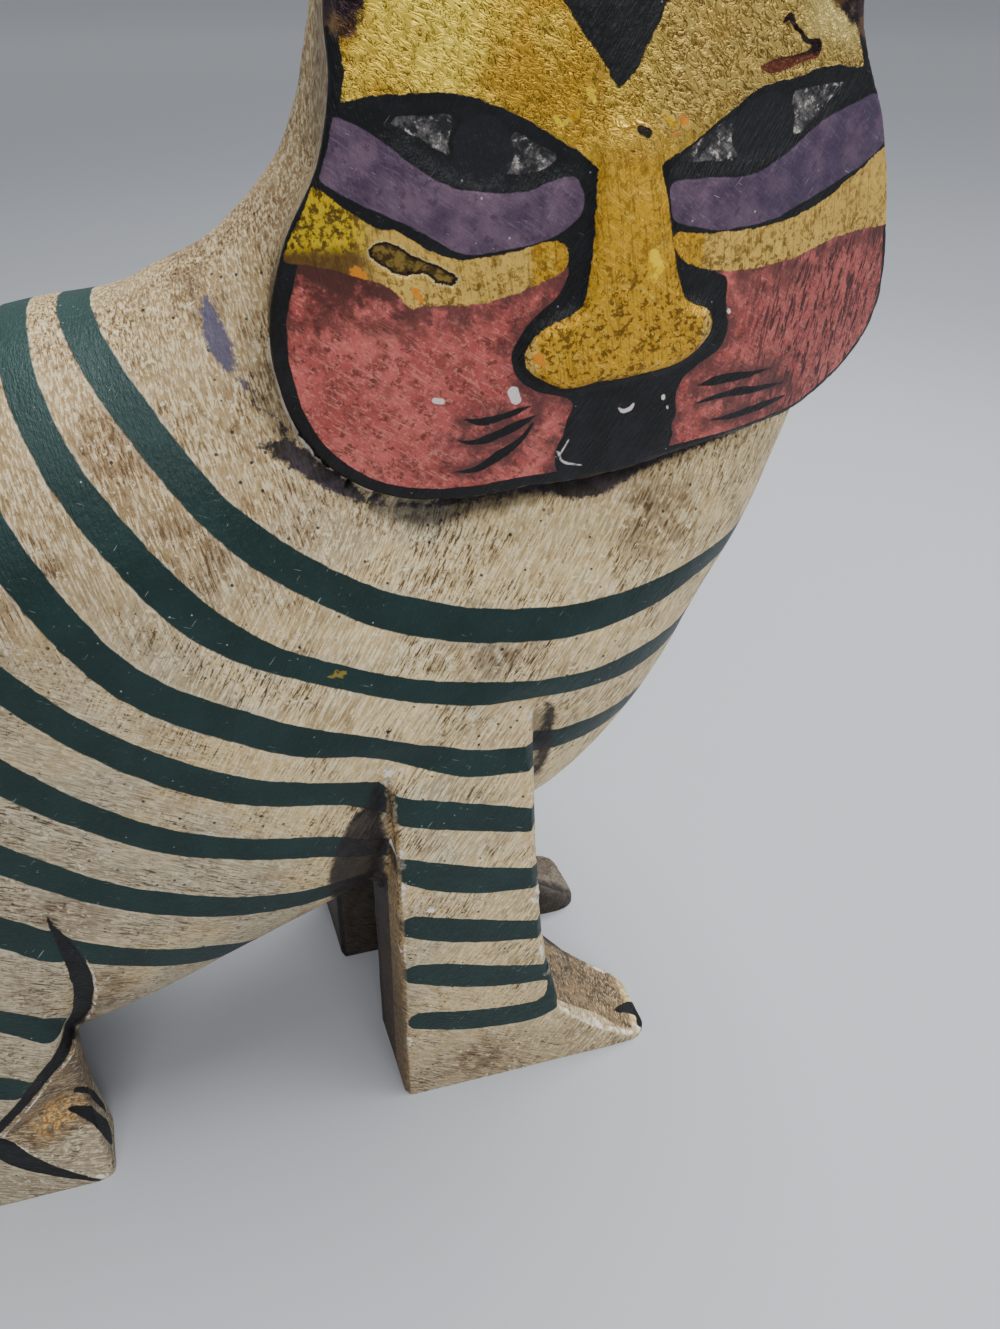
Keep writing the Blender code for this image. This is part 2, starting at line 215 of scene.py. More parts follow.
# The studio, with its angles in degrees
FLOOR = 14.0
LENS = 27.06
SENSOR = 36.0
NEAREST = 0.005
CAMERA_PLACE = (-0.016, -0.198, 0.270)
CAMERA_AZIMUTH = -15
CAMERA_ELEVATION = 37

BODY_OUTLINE = (
    (0.104, 0.205), (0.104, 0.188), (0.099, 0.172), (0.0935, 0.157), (0.0855, 0.141), (0.075, 0.118),
    (0.062, 0.099), (0.046, 0.083), (0.025, 0.070), (0.000, 0.062), (-0.030, 0.050), (-0.060, 0.037),
    (-0.090, 0.029), (-0.125, 0.030), (-0.154, 0.046), (-0.172, 0.074), (-0.178, 0.107),
    (-0.168, 0.143), (-0.143, 0.176), (-0.102, 0.202), (-0.058, 0.2125), (-0.037, 0.2150),
    (-0.0287, 0.2182), (-0.0192, 0.2219), (-0.0115, 0.2275), (-0.0054, 0.2333), (-0.0018, 0.2381),
    (0.0016, 0.2455), (0.0040, 0.2525), (0.0090, 0.2580), (0.020, 0.2590), (0.050, 0.2510),
    (0.078, 0.2420), (0.095, 0.227),
)
FACE_OUTLINE = (
    (0.000, -0.0385), (0.0150, -0.0365), (0.0280, -0.0356), (0.0380, -0.0348), (0.0450, -0.0325),
    (0.0520, -0.0283), (0.0570, -0.0230), (0.0588, -0.0170), (0.0580, -0.0100), (0.0560, -0.0016),
    (0.0538, 0.0067), (0.0505, 0.0150), (0.0466, 0.0220), (0.0434, 0.0290), (0.0424, 0.0370),
    (0.0370, 0.0450), (0.0220, 0.0490), (0.0000, 0.0495), (-0.0220, 0.0490), (-0.0370, 0.0450),
    (-0.0410, 0.0370), (-0.0414, 0.0290), (-0.0434, 0.0216), (-0.0464, 0.0150), (-0.0515, 0.0070),
    (-0.0553, -0.0020), (-0.0570, -0.0100), (-0.0568, -0.0180), (-0.0552, -0.0255),
    (-0.0513, -0.0323), (-0.0456, -0.0372), (-0.0378, -0.0400), (-0.0280, -0.0404),
    (-0.0150, -0.0392),
)
FRONT_LEG = (
    (0.0015, 0.130), (0.0020, 0.100), (-0.0018, -0.010), (0.0728, -0.010), (0.0730, -0.001),
    (0.0655, 0.005), (0.0555, 0.013), (0.0475, 0.023), (0.0420, 0.035), (0.0390, 0.047),
    (0.0365, 0.075), (0.0350, 0.110), (0.0345, 0.135), (0.0180, 0.145),
)
HIND_LEG = (
    (-0.0815, -0.010), (-0.0822, 0.000), (-0.0830, 0.012), (-0.0826, 0.028), (-0.0795, 0.045),
    (-0.0748, 0.062), (-0.0710, 0.081), (-0.0725, 0.100), (-0.0800, 0.120), (-0.0980, 0.141),
    (-0.1300, 0.150), (-0.1600, 0.135), (-0.1720, 0.108), (-0.1710, 0.076), (-0.1610, 0.050),
    (-0.1550, 0.030), (-0.1550, 0.012), (-0.1570, -0.010),
)
FRONT_NOTCH = ((0.0390, 0.050), (0.0437, 0.0215), (0.0556, 0.0080), (0.0660, 0.0000),
               (0.0750, -0.0020))
HIND_NOTCH = ((-0.0705, 0.080), (-0.0765, 0.061), (-0.1045, 0.0245), (-0.0835, -0.0035))
TAIL_PATH = ((-0.150, 0.165), (-0.170, 0.140), (-0.1795, 0.108), (-0.176, 0.078), (-0.166, 0.052))

# The face's paint, across and up in millimetres
NOSE = (
    (-3.4, 19.0), (-4.2, 13.0), (-4.7, 8.0), (-5.3, 1.0), (-6.4, -5.3), (-9.8, -7.6), (-13.2, -9.0),
    (-16.0, -11.6), (-16.4, -15.0), (-14.1, -17.2), (-9.5, -19.6), (-4.0, -19.2), (4.0, -18.9),
    (10.0, -18.3), (14.0, -16.6), (16.8, -13.5), (16.2, -10.0), (13.3, -8.3), (11.4, -7.2),
    (10.0, -4.0), (8.4, 2.5), (7.4, 8.0), (6.2, 13.0), (4.4, 19.0),
)
FOREHEAD = (
    (-41.2, 26.3), (-37.1, 25.8), (-30.0, 25.9), (-23.6, 25.3), (-17.0, 22.8), (-10.9, 19.3),
    (-6.0, 16.1), (-4.1, 14.2), (0.0, 12.0), (6.1, 13.8), (11.5, 15.9), (17.1, 19.2), (23.6, 22.3),
    (30.3, 23.1), (37.0, 23.9), (46.5, 23.5), (44.5, 37.0), (38.0, 45.5), (22.0, 50.0), (0.0, 51.0),
    (-22.0, 50.0), (-38.0, 45.5), (-42.5, 37.0),
)
FOREHEAD_WEDGE = (
    (-0.6, 24.2), (-2.7, 27.7), (-5.5, 31.3), (-8.4, 35.7), (-14.0, 44.0), (-20.0, 55.0),
    (20.0, 55.0), (13.0, 44.0), (7.1, 34.7), (4.9, 30.9), (2.2, 26.7),
)
LEFT_PURPLE = (
    (-45.6, 20.6), (-42.6, 23.4), (-38.9, 22.3), (-34.3, 19.0), (-29.3, 14.9), (-26.3, 13.4),
    (-22.9, 12.4), (-15.9, 11.8), (-10.8, 13.1), (-7.6, 13.4), (-6.3, 11.5), (-6.4, 8.5),
    (-9.5, 5.8), (-15.1, 4.2), (-21.0, 3.6), (-25.4, 3.6), (-28.8, 5.6), (-32.1, 7.8),
    (-38.0, 10.8), (-43.6, 13.9), (-46.0, 16.6),
)
RIGHT_PURPLE = (
    (7.9, 8.4), (8.2, 10.8), (13.4, 10.8), (22.2, 10.2), (28.8, 12.1), (34.7, 15.4), (40.0, 17.2),
    (48.5, 18.3), (52.5, 12.0), (47.3, 8.3), (42.5, 6.9), (32.5, 3.9), (27.7, 2.7), (18.5, 2.6),
    (11.8, 4.0), (8.6, 5.7),
)
LEFT_GOLD = (
    (-51.0, 7.0), (-47.4, 13.9), (-44.3, 13.0), (-41.6, 10.6), (-37.7, 8.1), (-34.9, 7.6),
    (-32.3, 5.8), (-30.3, 4.4), (-27.2, 3.3), (-23.6, 2.8), (-16.2, 3.6), (-11.0, 4.4), (-8.9, 3.3),
    (-8.8, 1.0), (-10.0, -0.6), (-13.4, -1.7), (-20.3, -3.7), (-25.5, -4.2), (-31.1, -3.9),
    (-34.0, -4.2), (-37.0, -0.8), (-43.1, 1.6), (-48.9, 3.2), (-53.0, 3.8),
)
RIGHT_GOLD = (
    (8.6, 2.0), (9.4, 3.4), (13.0, 2.9), (18.5, 2.1), (27.8, 2.0), (37.7, 3.6), (45.3, 6.8),
    (54.0, 9.6), (58.0, -2.4), (47.5, -2.7), (41.7, -2.9), (36.5, -4.0), (31.3, -4.7), (21.0, -4.3),
    (15.4, -3.2), (11.8, -1.7), (9.6, 0.4),
)
LEFT_EYE_OUTER = ((-34.2, 22.4), (-30.5, 22.9), (-25.0, 22.8), (-25.6, 20.7), (-26.2, 18.9),
                  (-25.7, 17.2), (-29.5, 19.7))
LEFT_EYE_INNER = ((-16.5, 20.2), (-12.0, 17.5), (-10.1, 16.4), (-11.1, 15.2), (-14.0, 14.4),
                  (-19.1, 14.5), (-17.4, 16.5))
RIGHT_EYE_INNER = ((9.4, 13.7), (11.5, 15.3), (14.7, 17.2), (19.6, 18.9), (18.8, 16.5),
                   (19.0, 14.7), (20.6, 12.9), (13.3, 13.2))
RIGHT_EYE_OUTER = ((30.1, 20.9), (36.7, 21.2), (40.6, 21.2), (38.5, 19.6), (34.5, 16.8),
                   (30.9, 14.5), (30.8, 17.3))
LEFT_EYE = ((-36.0, 23.0), (-30.0, 24.2), (-23.6, 23.6), (-16.0, 21.0), (-9.0, 16.6), (-9.5, 14.0),
            (-16.0, 12.8), (-24.0, 13.6), (-30.0, 17.2))
RIGHT_EYE = ((8.6, 13.4), (14.0, 17.4), (22.0, 20.8), (30.0, 22.0), (42.0, 22.0), (36.0, 17.0),
             (29.0, 12.6), (20.0, 11.8), (12.0, 12.2))
IRIS = ((-21.0, 17.6, 4.5, 5.0), (24.8, 16.3, 5.9, 5.3))
IRIS_CORNERS = 14
LEFT_CHEEK = ((-70.0, 6.0), (-50.0, 5.0), (-40.0, 3.5), (-33.0, -1.0), (-20.0, -1.0), (-10.0, 0.5),
              (0.0, 0.0), (0.0, -60.0), (-70.0, -60.0))
RIGHT_CHEEK = ((4.0, 0.0), (10.0, 1.0), (20.0, -1.0), (32.0, -1.5), (42.0, 0.0), (70.0, 1.0),
               (70.0, -60.0), (4.0, -60.0))
MUZZLE = (
    (-8.0, 4.0), (-8.8, -0.8), (-11.1, -4.6), (-13.5, -6.3), (-15.9, -8.8), (-17.8, -11.4),
    (-18.5, -14.2), (-17.2, -17.6), (-13.7, -20.2), (-9.0, -21.8), (-7.9, -23.4), (-8.8, -25.5),
    (-9.9, -29.4), (-11.0, -32.3), (-10.5, -36.5), (-6.0, -44.0), (8.0, -44.0), (11.5, -33.5),
    (11.2, -31.0), (11.9, -28.1), (11.5, -24.5), (12.7, -21.6), (16.1, -19.4), (19.3, -17.7),
    (20.9, -14.4), (20.0, -10.2), (19.7, -5.5), (17.0, -3.5), (12.0, 2.0), (8.0, 4.0),
)
PEELED_PATCH = ((-39.6, 4.4), (-37.9, 6.0), (-35.2, 5.6), (-32.5, 3.7), (-29.1, 2.1), (-26.2, 0.1),
                (-27.2, -1.1), (-29.7, -0.4), (-31.3, 1.1), (-35.0, 0.9), (-37.7, 2.5))
PEELED_CRACK = ((23.3, 24.9, 0.2), (25.2, 24.8, 0.9), (28.6, 25.2, 0.8), (31.5, 25.6, 0.7),
                (33.3, 26.2, 1.0), (33.6, 27.2, 0.6), (31.5, 27.6, 0.35), (30.3, 28.7, 0.4),
                (28.9, 29.8, 0.4), (27.9, 31.0, 0.5), (26.8, 30.4, 0.15))
LEFT_HOLLOW = ((-41.0, 43.0), (-41.3, 37.0), (-40.6, 33.9), (-39.2, 32.8), (-37.4, 33.4),
               (-36.2, 35.6), (-35.0, 38.6), (-33.0, 43.0), (-36.0, 50.0))
RIGHT_HOLLOW = ((31.0, 43.0), (33.0, 38.0), (35.5, 32.8), (38.0, 30.5), (40.8, 28.4),
                (46.0, 27.0), (46.0, 38.0), (38.0, 48.0))
# Strokes: across, up and half width at each point
WHISKERS = (
    ((-27.3, -23.8, 0.1), (-24.0, -24.7, 0.6), (-20.5, -24.1, 0.7), (-14.9, -22.4, 0.1)),
    ((-28.4, -28.0, 0.1), (-24.9, -28.6, 0.65), (-19.1, -26.6, 0.8), (-13.7, -24.1, 0.1)),
    ((-29.3, -34.4, 0.1), (-25.2, -34.0, 0.6), (-20.9, -31.5, 0.95), (-17.1, -28.8, 0.6),
     (-15.0, -25.8, 0.1)),
    ((15.5, -23.8, 0.1), (20.9, -23.6, 0.95), (27.0, -24.0, 0.55), (32.2, -23.9, 0.1)),
    ((16.0, -27.2, 0.1), (23.0, -26.8, 0.75), (29.4, -27.4, 0.65), (35.5, -27.8, 0.1)),
    ((19.2, -31.4, 0.1), (24.9, -31.7, 0.65), (31.3, -31.3, 0.75), (37.4, -30.7, 0.1)),
)
FACE_DOTS = (((2.3, 19.0, 0.7), (3.3, 18.6, 0.75)), ((0.4, 16.6, 0.1), (1.0, 16.4, 0.25)))
FACE_CHIPS = (
    ((-31.5, -20.2, 0.5), (-30.4, -20.4, 0.6)), ((-18.4, -19.6, 1.0), (-17.9, -21.0, 0.9)),
    ((0.4, -25.0, 0.1), (1.4, -25.9, 0.35), (2.8, -25.6, 0.35), (3.4, -24.6, 0.1)),
    ((9.0, -24.4, 0.35), (9.1, -24.9, 0.3)), ((10.0, -26.6, 0.3), (10.1, -27.0, 0.2)),
    ((-10.6, -32.0, 0.15), (-9.4, -34.4, 0.25), (-6.0, -35.6, 0.15)),
    ((-10.2, -33.0, 0.1), (-8.6, -30.0, 0.15)), ((20.6, -11.0, 0.3), (20.8, -11.3, 0.3)),
)
YELLOW_DABS = (
    ((4.6, 1.4, 0.8), (5.2, -0.6, 1.3), (4.8, -2.4, 0.8)), ((-5.0, 24.6, 0.5), (-4.4, 23.2, 0.5)),
    ((-6.4, 22.4, 0.2), (-8.8, 20.6, 0.5), (-10.4, 21.4, 0.2)), ((6.4, 20.6, 0.2), (8.2, 19.2, 0.6)),
)
ORANGE_DABS = (
    ((9.8, 19.4, 0.6), (10.6, 19.0, 0.4)), ((8.4, 17.6, 0.5), (8.9, 17.2, 0.4)),
    ((-41.8, 1.8, 0.9), (-40.6, 1.2, 0.8)), ((-32.8, -1.6, 0.5), (-32.4, -3.2, 0.5)),
    ((-14.6, -13.0, 0.7), (-13.6, -14.2, 0.6)),
)

# The stripes, along and up the side in millimetres, with the half width at each point. The same
# stripes cross the ridge and run down the far side.
STRIPES = (
    ((-47.0, 222.0, 2.7), (-41.6, 212.5, 2.7), (-33.3, 200.0, 3.0), (-25.2, 187.5, 3.0),
     (-18.4, 179.5, 3.3), (-10.7, 172.4, 3.4), (-2.7, 166.4, 3.5), (6.8, 161.1, 3.8),
     (22.0, 156.2, 3.8), (42.0, 154.2, 3.8), (60.0, 155.5, 3.5), (76.0, 158.1, 2.9),
     (102.0, 160.7, 2.6)),
    ((-55.0, 220.0, 2.8), (-52.2, 208.0, 2.8), (-49.1, 199.1, 2.9), (-44.5, 189.7, 3.1),
     (-33.9, 172.2, 3.5), (-27.4, 164.0, 3.5), (-19.5, 157.1, 3.0), (-10.4, 151.9, 2.7),
     (8.2, 143.5, 2.8), (28.1, 138.9, 3.0), (48.1, 137.4, 2.7), (58.1, 137.4, 3.3),
     (80.0, 139.0, 3.0), (94.0, 141.0, 3.0)),
    ((-70.0, 216.0, 3.0), (-62.0, 192.0, 3.2), (-56.9, 179.4, 3.4), (-48.8, 162.8, 3.5),
     (-43.4, 155.0, 3.7), (-36.1, 148.3, 3.8), (-20.2, 137.9, 3.9), (-11.6, 134.0, 3.6),
     (-2.4, 131.0, 2.9), (12.4, 123.6, 3.4), (21.3, 120.3, 3.7), (38.2, 118.5, 3.4),
     (46.0, 118.7, 3.4), (80.0, 120.0, 3.2)),
    ((-92.0, 210.0, 3.0), (-85.0, 195.0, 3.1), (-74.0, 175.0, 3.2), (-63.5, 157.2, 3.2),
     (-53.4, 144.2, 3.4), (-41.2, 133.2, 3.7), (-27.2, 124.5, 3.7), (-11.1, 119.0, 3.4),
     (-4.2, 116.0, 3.9), (3.0, 110.8, 3.9), (16.7, 105.8, 4.2), (33.0, 100.4, 3.8)),
    ((-113.0, 204.0, 3.0), (-98.0, 178.0, 3.2), (-82.0, 155.0, 3.5), (-69.2, 136.9, 3.7),
     (-58.3, 125.2, 3.4), (-45.0, 114.7, 3.4), (-29.9, 108.0, 3.2), (-14.1, 103.0, 3.4),
     (-3.5, 95.8, 3.0), (10.0, 87.6, 4.5), (21.0, 83.0, 4.6), (33.0, 80.1, 3.8), (39.0, 79.0, 3.6)),
    ((-139.0, 190.0, 3.2), (-120.0, 163.0, 3.4), (-96.0, 138.0, 3.6), (-75.1, 116.5, 3.7),
     (-60.0, 102.7, 3.5), (-42.0, 92.9, 3.6), (-23.7, 85.0, 3.9), (-6.0, 79.0, 4.5)),
    ((-166.0, 160.0, 3.6), (-140.0, 142.0, 3.8), (-108.0, 119.0, 4.2), (-83.0, 98.0, 4.4),
     (-74.8, 89.5, 4.3), (-65.0, 83.7, 3.4), (-55.5, 77.3, 3.7), (-45.0, 70.0, 4.6),
     (-38.0, 62.0, 4.6)),
    ((-185.0, 122.0, 3.6), (-150.0, 106.0, 3.9), (-112.0, 84.0, 4.0), (-91.2, 68.8, 3.8),
     (-83.0, 59.0, 3.2)),
    ((-185.0, 92.0, 3.8), (-150.0, 76.0, 4.1), (-116.0, 55.0, 4.3), (-98.2, 44.0, 4.1),
     (-93.0, 40.6, 3.2)),
    ((-180.0, 60.0, 3.8), (-150.0, 45.0, 4.0), (-122.0, 27.0, 4.0)),
)
LEG_STRIPES = (
    ((4.0, 71.0, 3.8), (13.0, 66.7, 4.3), (25.0, 62.5, 4.1), (34.0, 60.0, 3.7), (40.0, 59.0, 3.6)),
    ((4.0, 52.0, 3.8), (12.0, 48.8, 4.4), (24.0, 44.0, 4.4), (34.5, 41.4, 3.8), (41.0, 40.4, 3.6)),
    ((4.0, 31.6, 3.5), (15.0, 27.5, 4.2), (28.0, 24.7, 4.3), (36.0, 24.2, 4.2), (40.0, 25.6, 3.6),
     (42.2, 31.5, 2.8), (41.4, 39.0, 1.9)),
)
HAUNCH_LINE = ((-73.9, 101.6, 0.1), (-72.9, 93.6, 0.9), (-72.2, 88.0, 1.7), (-71.8, 79.0, 2.2),
               (-73.3, 69.5, 2.1), (-76.8, 59.0, 2.1), (-81.8, 50.5, 2.1), (-88.2, 43.6, 2.0),
               (-95.7, 35.2, 1.5), (-104.5, 27.0, 1.2))
HOCK_LINE = ((-114.0, 31.0, 3.0), (-105.6, 22.5, 3.3), (-101.0, 13.5, 2.9), (-95.6, 6.0, 1.9),
             (-89.2, -0.5, 0.9), (-86.0, -3.5, 0.3))
# Painted on the hind toes' fronts, out from the middle of the plank and up
TOE_WEDGES = (
    ((34.0, 27.5), (30.0, 19.5), (27.4, 13.3), (26.2, 5.4), (28.0, 3.0), (28.7, 7.2), (31.7, 17.3)),
    ((35.5, 22.0), (33.2, 14.3), (31.0, 7.0), (29.8, 2.5), (32.0, -0.6), (35.3, -1.0), (36.4, 3.1),
     (37.2, 10.0), (36.4, 15.7)),
)
LIGHT_RIDGES = (
    ((-69.8, 87.0, 0.1), (-69.3, 79.0, 0.35), (-70.7, 69.0, 0.35), (-74.3, 57.8, 0.3),
     (-79.6, 48.6, 0.35), (-86.2, 41.6, 0.3), (-93.8, 33.4, 0.3), (-103.0, 24.9, 0.2)),
    ((-102.6, 24.2, 0.2), (-98.0, 15.0, 0.3), (-93.6, 7.4, 0.3), (-88.0, 0.4, 0.4),
     (-84.6, -2.4, 0.9)),
    ((44.0, 20.6, 0.2), (49.8, 14.4, 0.3), (55.7, 8.0, 0.3), (65.8, 0.0, 0.35), (72.0, -1.6, 0.5)),
)
# The edge of the front foot's instep, by its distance from the middle of the plank
BEVEL_X = (0.0467, 0.0562, 0.0640)
BEVEL_Y = (0.0376, 0.0356, 0.0386)
TOE_BLACK = ((63.5, 33.6), (66.2, 31.4), (70.0, 30.2), (74.0, 30.0), (74.0, 35.0), (72.4, 38.8),
             (69.6, 38.6), (70.8, 35.2), (68.2, 33.8))
NAIL_HOLE = ((2.3, 134.1, 0.6), (2.7, 134.1, 0.6))
SIDE_CHIPS = (((8.5, 75.8, 0.8), (9.3, 75.2, 0.6)), ((-39.8, 113.2, 0.1), (-35.8, 116.4, 0.15)),
              ((1.0, 97.0, 0.5), (1.6, 95.0, 0.3)), ((0.6, 62.0, 0.4), (1.2, 59.0, 0.2)))
# Painted shadow along the throat under the chin and in a thin line down to it, and a purple smudge
# high on the left, along and up in millimetres with the half width at each point.
THROAT_SHADOW_AND_SMUDGES = (
    ((-19.6, 216.6, 0.3), (-19.3, 213.0, 1.7), (-18.2, 209.6, 1.8), (-16.4, 205.4, 0.5)),
    ((-17.0, 207.6, 0.2), (-14.6, 202.9, 0.5), (-12.3, 199.2, 0.5), (-8.6, 194.4, 0.6)),
    ((-15.6, 195.6, 0.3), (-11.0, 193.2, 1.5), (-6.4, 190.0, 2.1), (-1.8, 186.0, 1.9),
     (3.0, 182.6, 1.1), (10.0, 180.8, 0.9), (19.0, 180.0, 0.9), (28.0, 180.6, 1.0),
     (37.0, 181.8, 1.6), (43.0, 181.4, 2.9), (48.0, 181.6, 3.0), (54.0, 183.4, 2.4),
     (62.0, 185.4, 1.9), (71.0, 186.2, 1.6), (79.0, 186.4, 0.9), (92.0, 188.0, 0.7)),
)
# Painted shade behind the front leg and in the crease in front of it, along and up in millimetres with
# the half width at each point.
ARMPIT_SHADES = (
    ((-2.0, 112.4, 1.0), (-4.4, 106.5, 4.4), (-6.2, 98.0, 6.2), (-7.4, 88.0, 7.4),
     (-7.4, 74.0, 7.2)),
    ((37.2, 133.5, 0.6), (38.6, 128.5, 1.9), (38.8, 120.0, 1.6), (38.6, 112.0, 1.9),
     (37.6, 104.0, 1.4)),
)
# Brown stains on the side, along and up in millimetres, with their reach. The inner share of the
# reach is all stain.
STAIN_CORE = 0.3
STAINS = (
    (-69.2, 99.0, 11.0), (-68.0, 72.0, 10.0), (-70.0, 62.0, 11.0), (-37.0, 197.0, 12.0),
    (-29.0, 182.0, 10.0), (-21.0, 217.0, 8.0), (-86.0, 128.0, 13.0), (14.0, 199.0, 7.0),
    (27.0, 150.0, 12.0), (60.0, 172.0, 13.0), (20.0, 6.0, 14.0),
)
GILT_STAIN = (-91.0, 22.5, 8.5)
YELLOW_SMEAR = ((-9.0, 150.0, 0.2), (-6.5, 150.8, 1.0), (-4.0, 150.2, 0.3))


def between(a, b, c, d, t):
    """The Catmull-Rom curve from b to c, where t of the way is gone."""
    return 0.5 * (2 * b + (c - a) * t + (2 * a - 5 * b + 4 * c - d) * t ** 2
                  + (3 * b - a - 3 * c + d) * t ** 3)


def smooth_loop(points, steps=6):
    """A closed smooth curve through the points."""
    p = np.array(points, float)
    around = [np.roll(p, turn, 0) for turn in (1, 0, -1, -2)]
    out = [between(*around, t) for t in np.arange(steps) / steps]
    return np.stack(out, axis=1).reshape(-1, p.shape[1])


def smooth_path(points, steps=5):
    """An open smooth curve through the points."""
    p = np.array(points, float)
    p = np.concatenate([[2 * p[0] - p[1]], p, [2 * p[-1] - p[-2]]])
    out = [between(*four, t) for four in zip(p, p[1:], p[2:], p[3:]) for t in np.arange(steps) / steps]
    return np.array(out + [p[-2]])


def ramp(value, start, end):
    return np.clip((value - start) / (end - start), 0, 1)


def eased(value, start, end):
    share = ramp(value, start, end)
    return share * share * (3 - 2 * share)


def segment_distance(x, z, a, b):
    run = np.subtract(b, a)
    along = np.clip(((x - a[0]) * run[0] + (z - a[1]) * run[1]) / (run @ run), 0, 1)
    return np.hypot(x - a[0] - along * run[0], z - a[1] - along * run[1])


def half_plane(x, z, a, b):
    """The signed distance to a line from a to b, above zero on its right."""
    run = np.subtract(b, a) / np.hypot(*np.subtract(b, a))
    return (x - a[0]) * run[1] - (z - a[1]) * run[0]


def within(x, z, loop):
    """True inside a closed loop, by counting the sides that a level line crosses."""
    inside = np.zeros(np.broadcast(x, z).shape, bool)
    for a, b in zip(loop, np.roll(loop, -1, 0)):
        if a[1] != b[1]:
            crosses = (a[1] > z) != (b[1] > z)
            inside ^= crosses & (x < a[0] + (z - a[1]) * (b[0] - a[0]) / (b[1] - a[1]))
    return inside


def band(points, x, z):
    """How far inside a brush stroke of changing width each place is, below zero outside it."""
    stroke = smooth_path(np.array(points) * MM)
    found = np.full(x.shape, -BAND_REACH)
    for a, b in zip(stroke, stroke[1:]):
        reach = max(a[2], b[2]) + BAND_REACH
        low, high = np.minimum(a, b) - reach, np.maximum(a, b) + reach
        near = np.flatnonzero((x > low[0]) & (x < high[0]) & (z > low[1]) & (z < high[1]))
        if not len(near):
            continue
        run = (b - a)[:2]
        off_x, off_z = x[near] - a[0], z[near] - a[1]
        along = np.clip((off_x * run[0] + off_z * run[1]) / (run @ run), 0, 1)
        away = np.hypot(off_x - along * run[0], off_z - along * run[1])
        found[near] = np.maximum(found[near], a[2] + (b[2] - a[2]) * along - away)
    return found


def bands(strokes, x, z):
    return np.max([band(points, x, z) for points in strokes], axis=0)


class Outline:
    """The signed distance to a closed outline, below zero inside, kept on a fine grid."""

    def __init__(self, loop, grid=BODY_GRID, margin=FORM_MARGIN):
        self.grid = grid
        self.low = loop.min(0) - margin
        counts = ((loop.max(0) + margin - self.low) / grid).astype(int) + 2
        x = self.low[0] + grid * np.arange(counts[0])[:, None]
        z = self.low[1] + grid * np.arange(counts[1])[None, :]
        sides = zip(loop, np.roll(loop, -1, 0))
        nearest = np.min([segment_distance(x, z, a, b) for a, b in sides], axis=0)
        self.cells = np.where(within(x, z, loop), -nearest, nearest)

    def __call__(self, x, z):
        u = np.clip((x - self.low[0]) / self.grid, 0, self.cells.shape[0] - 1.001)
        v = np.clip((z - self.low[1]) / self.grid, 0, self.cells.shape[1] - 1.001)
        i, j = u.astype(int), v.astype(int)
        u, v = u - i, v - j
        c = self.cells
        return ((c[i, j] * (1 - u) + c[i + 1, j] * u) * (1 - v)
                + (c[i, j + 1] * (1 - u) + c[i + 1, j + 1] * u) * v)


def painted_shape(points, steps=4):
    """A painted shape's outline from millimetres. With no steps its corners stay sharp."""
    loop = np.array(points, float) * MM
    return Outline(smooth_loop(loop, steps) if steps else loop, PAINT_GRID, PAINT_MARGIN)


def soft_min(a, b, width):
    mix = np.clip(0.5 + 0.5 * (b - a) / width, 0, 1)
    return b + (a - b) * mix - width * mix * (1 - mix)


def soft_max(a, b, width):
    return -soft_min(-a, -b, width)


def rounded_over(edge, side, half, reach):
    """An elliptical rounding: reach deep from the outline, and half of the plank across."""
    inward = np.clip((edge + reach) / reach, 0, None)
    return (np.hypot(inward, side / half) - 1) * half


def notch_depth(x, z, corner_line, slope):
    """How far a foot's upper side facet falls back, from its two edges to the middle."""
    edges = [segment_distance(x, z, a, b) for a, b in zip(corner_line, corner_line[1:])]
    line = np.array(corner_line)
    ring = np.concatenate([line, line[[-1, 0]] + (FACET_REACH, 0)])
    return np.where(within(x, z, ring), slope * np.min(edges, axis=0), 0)


def face_place(x, z):
    """Across and up on the tilted face, from its middle."""
    across, up = x - FACE_X, z - FACE_Z
    cos, sin = np.cos(FACE_TILT), np.sin(FACE_TILT)
    return across * cos + up * sin, up * cos - across * sin


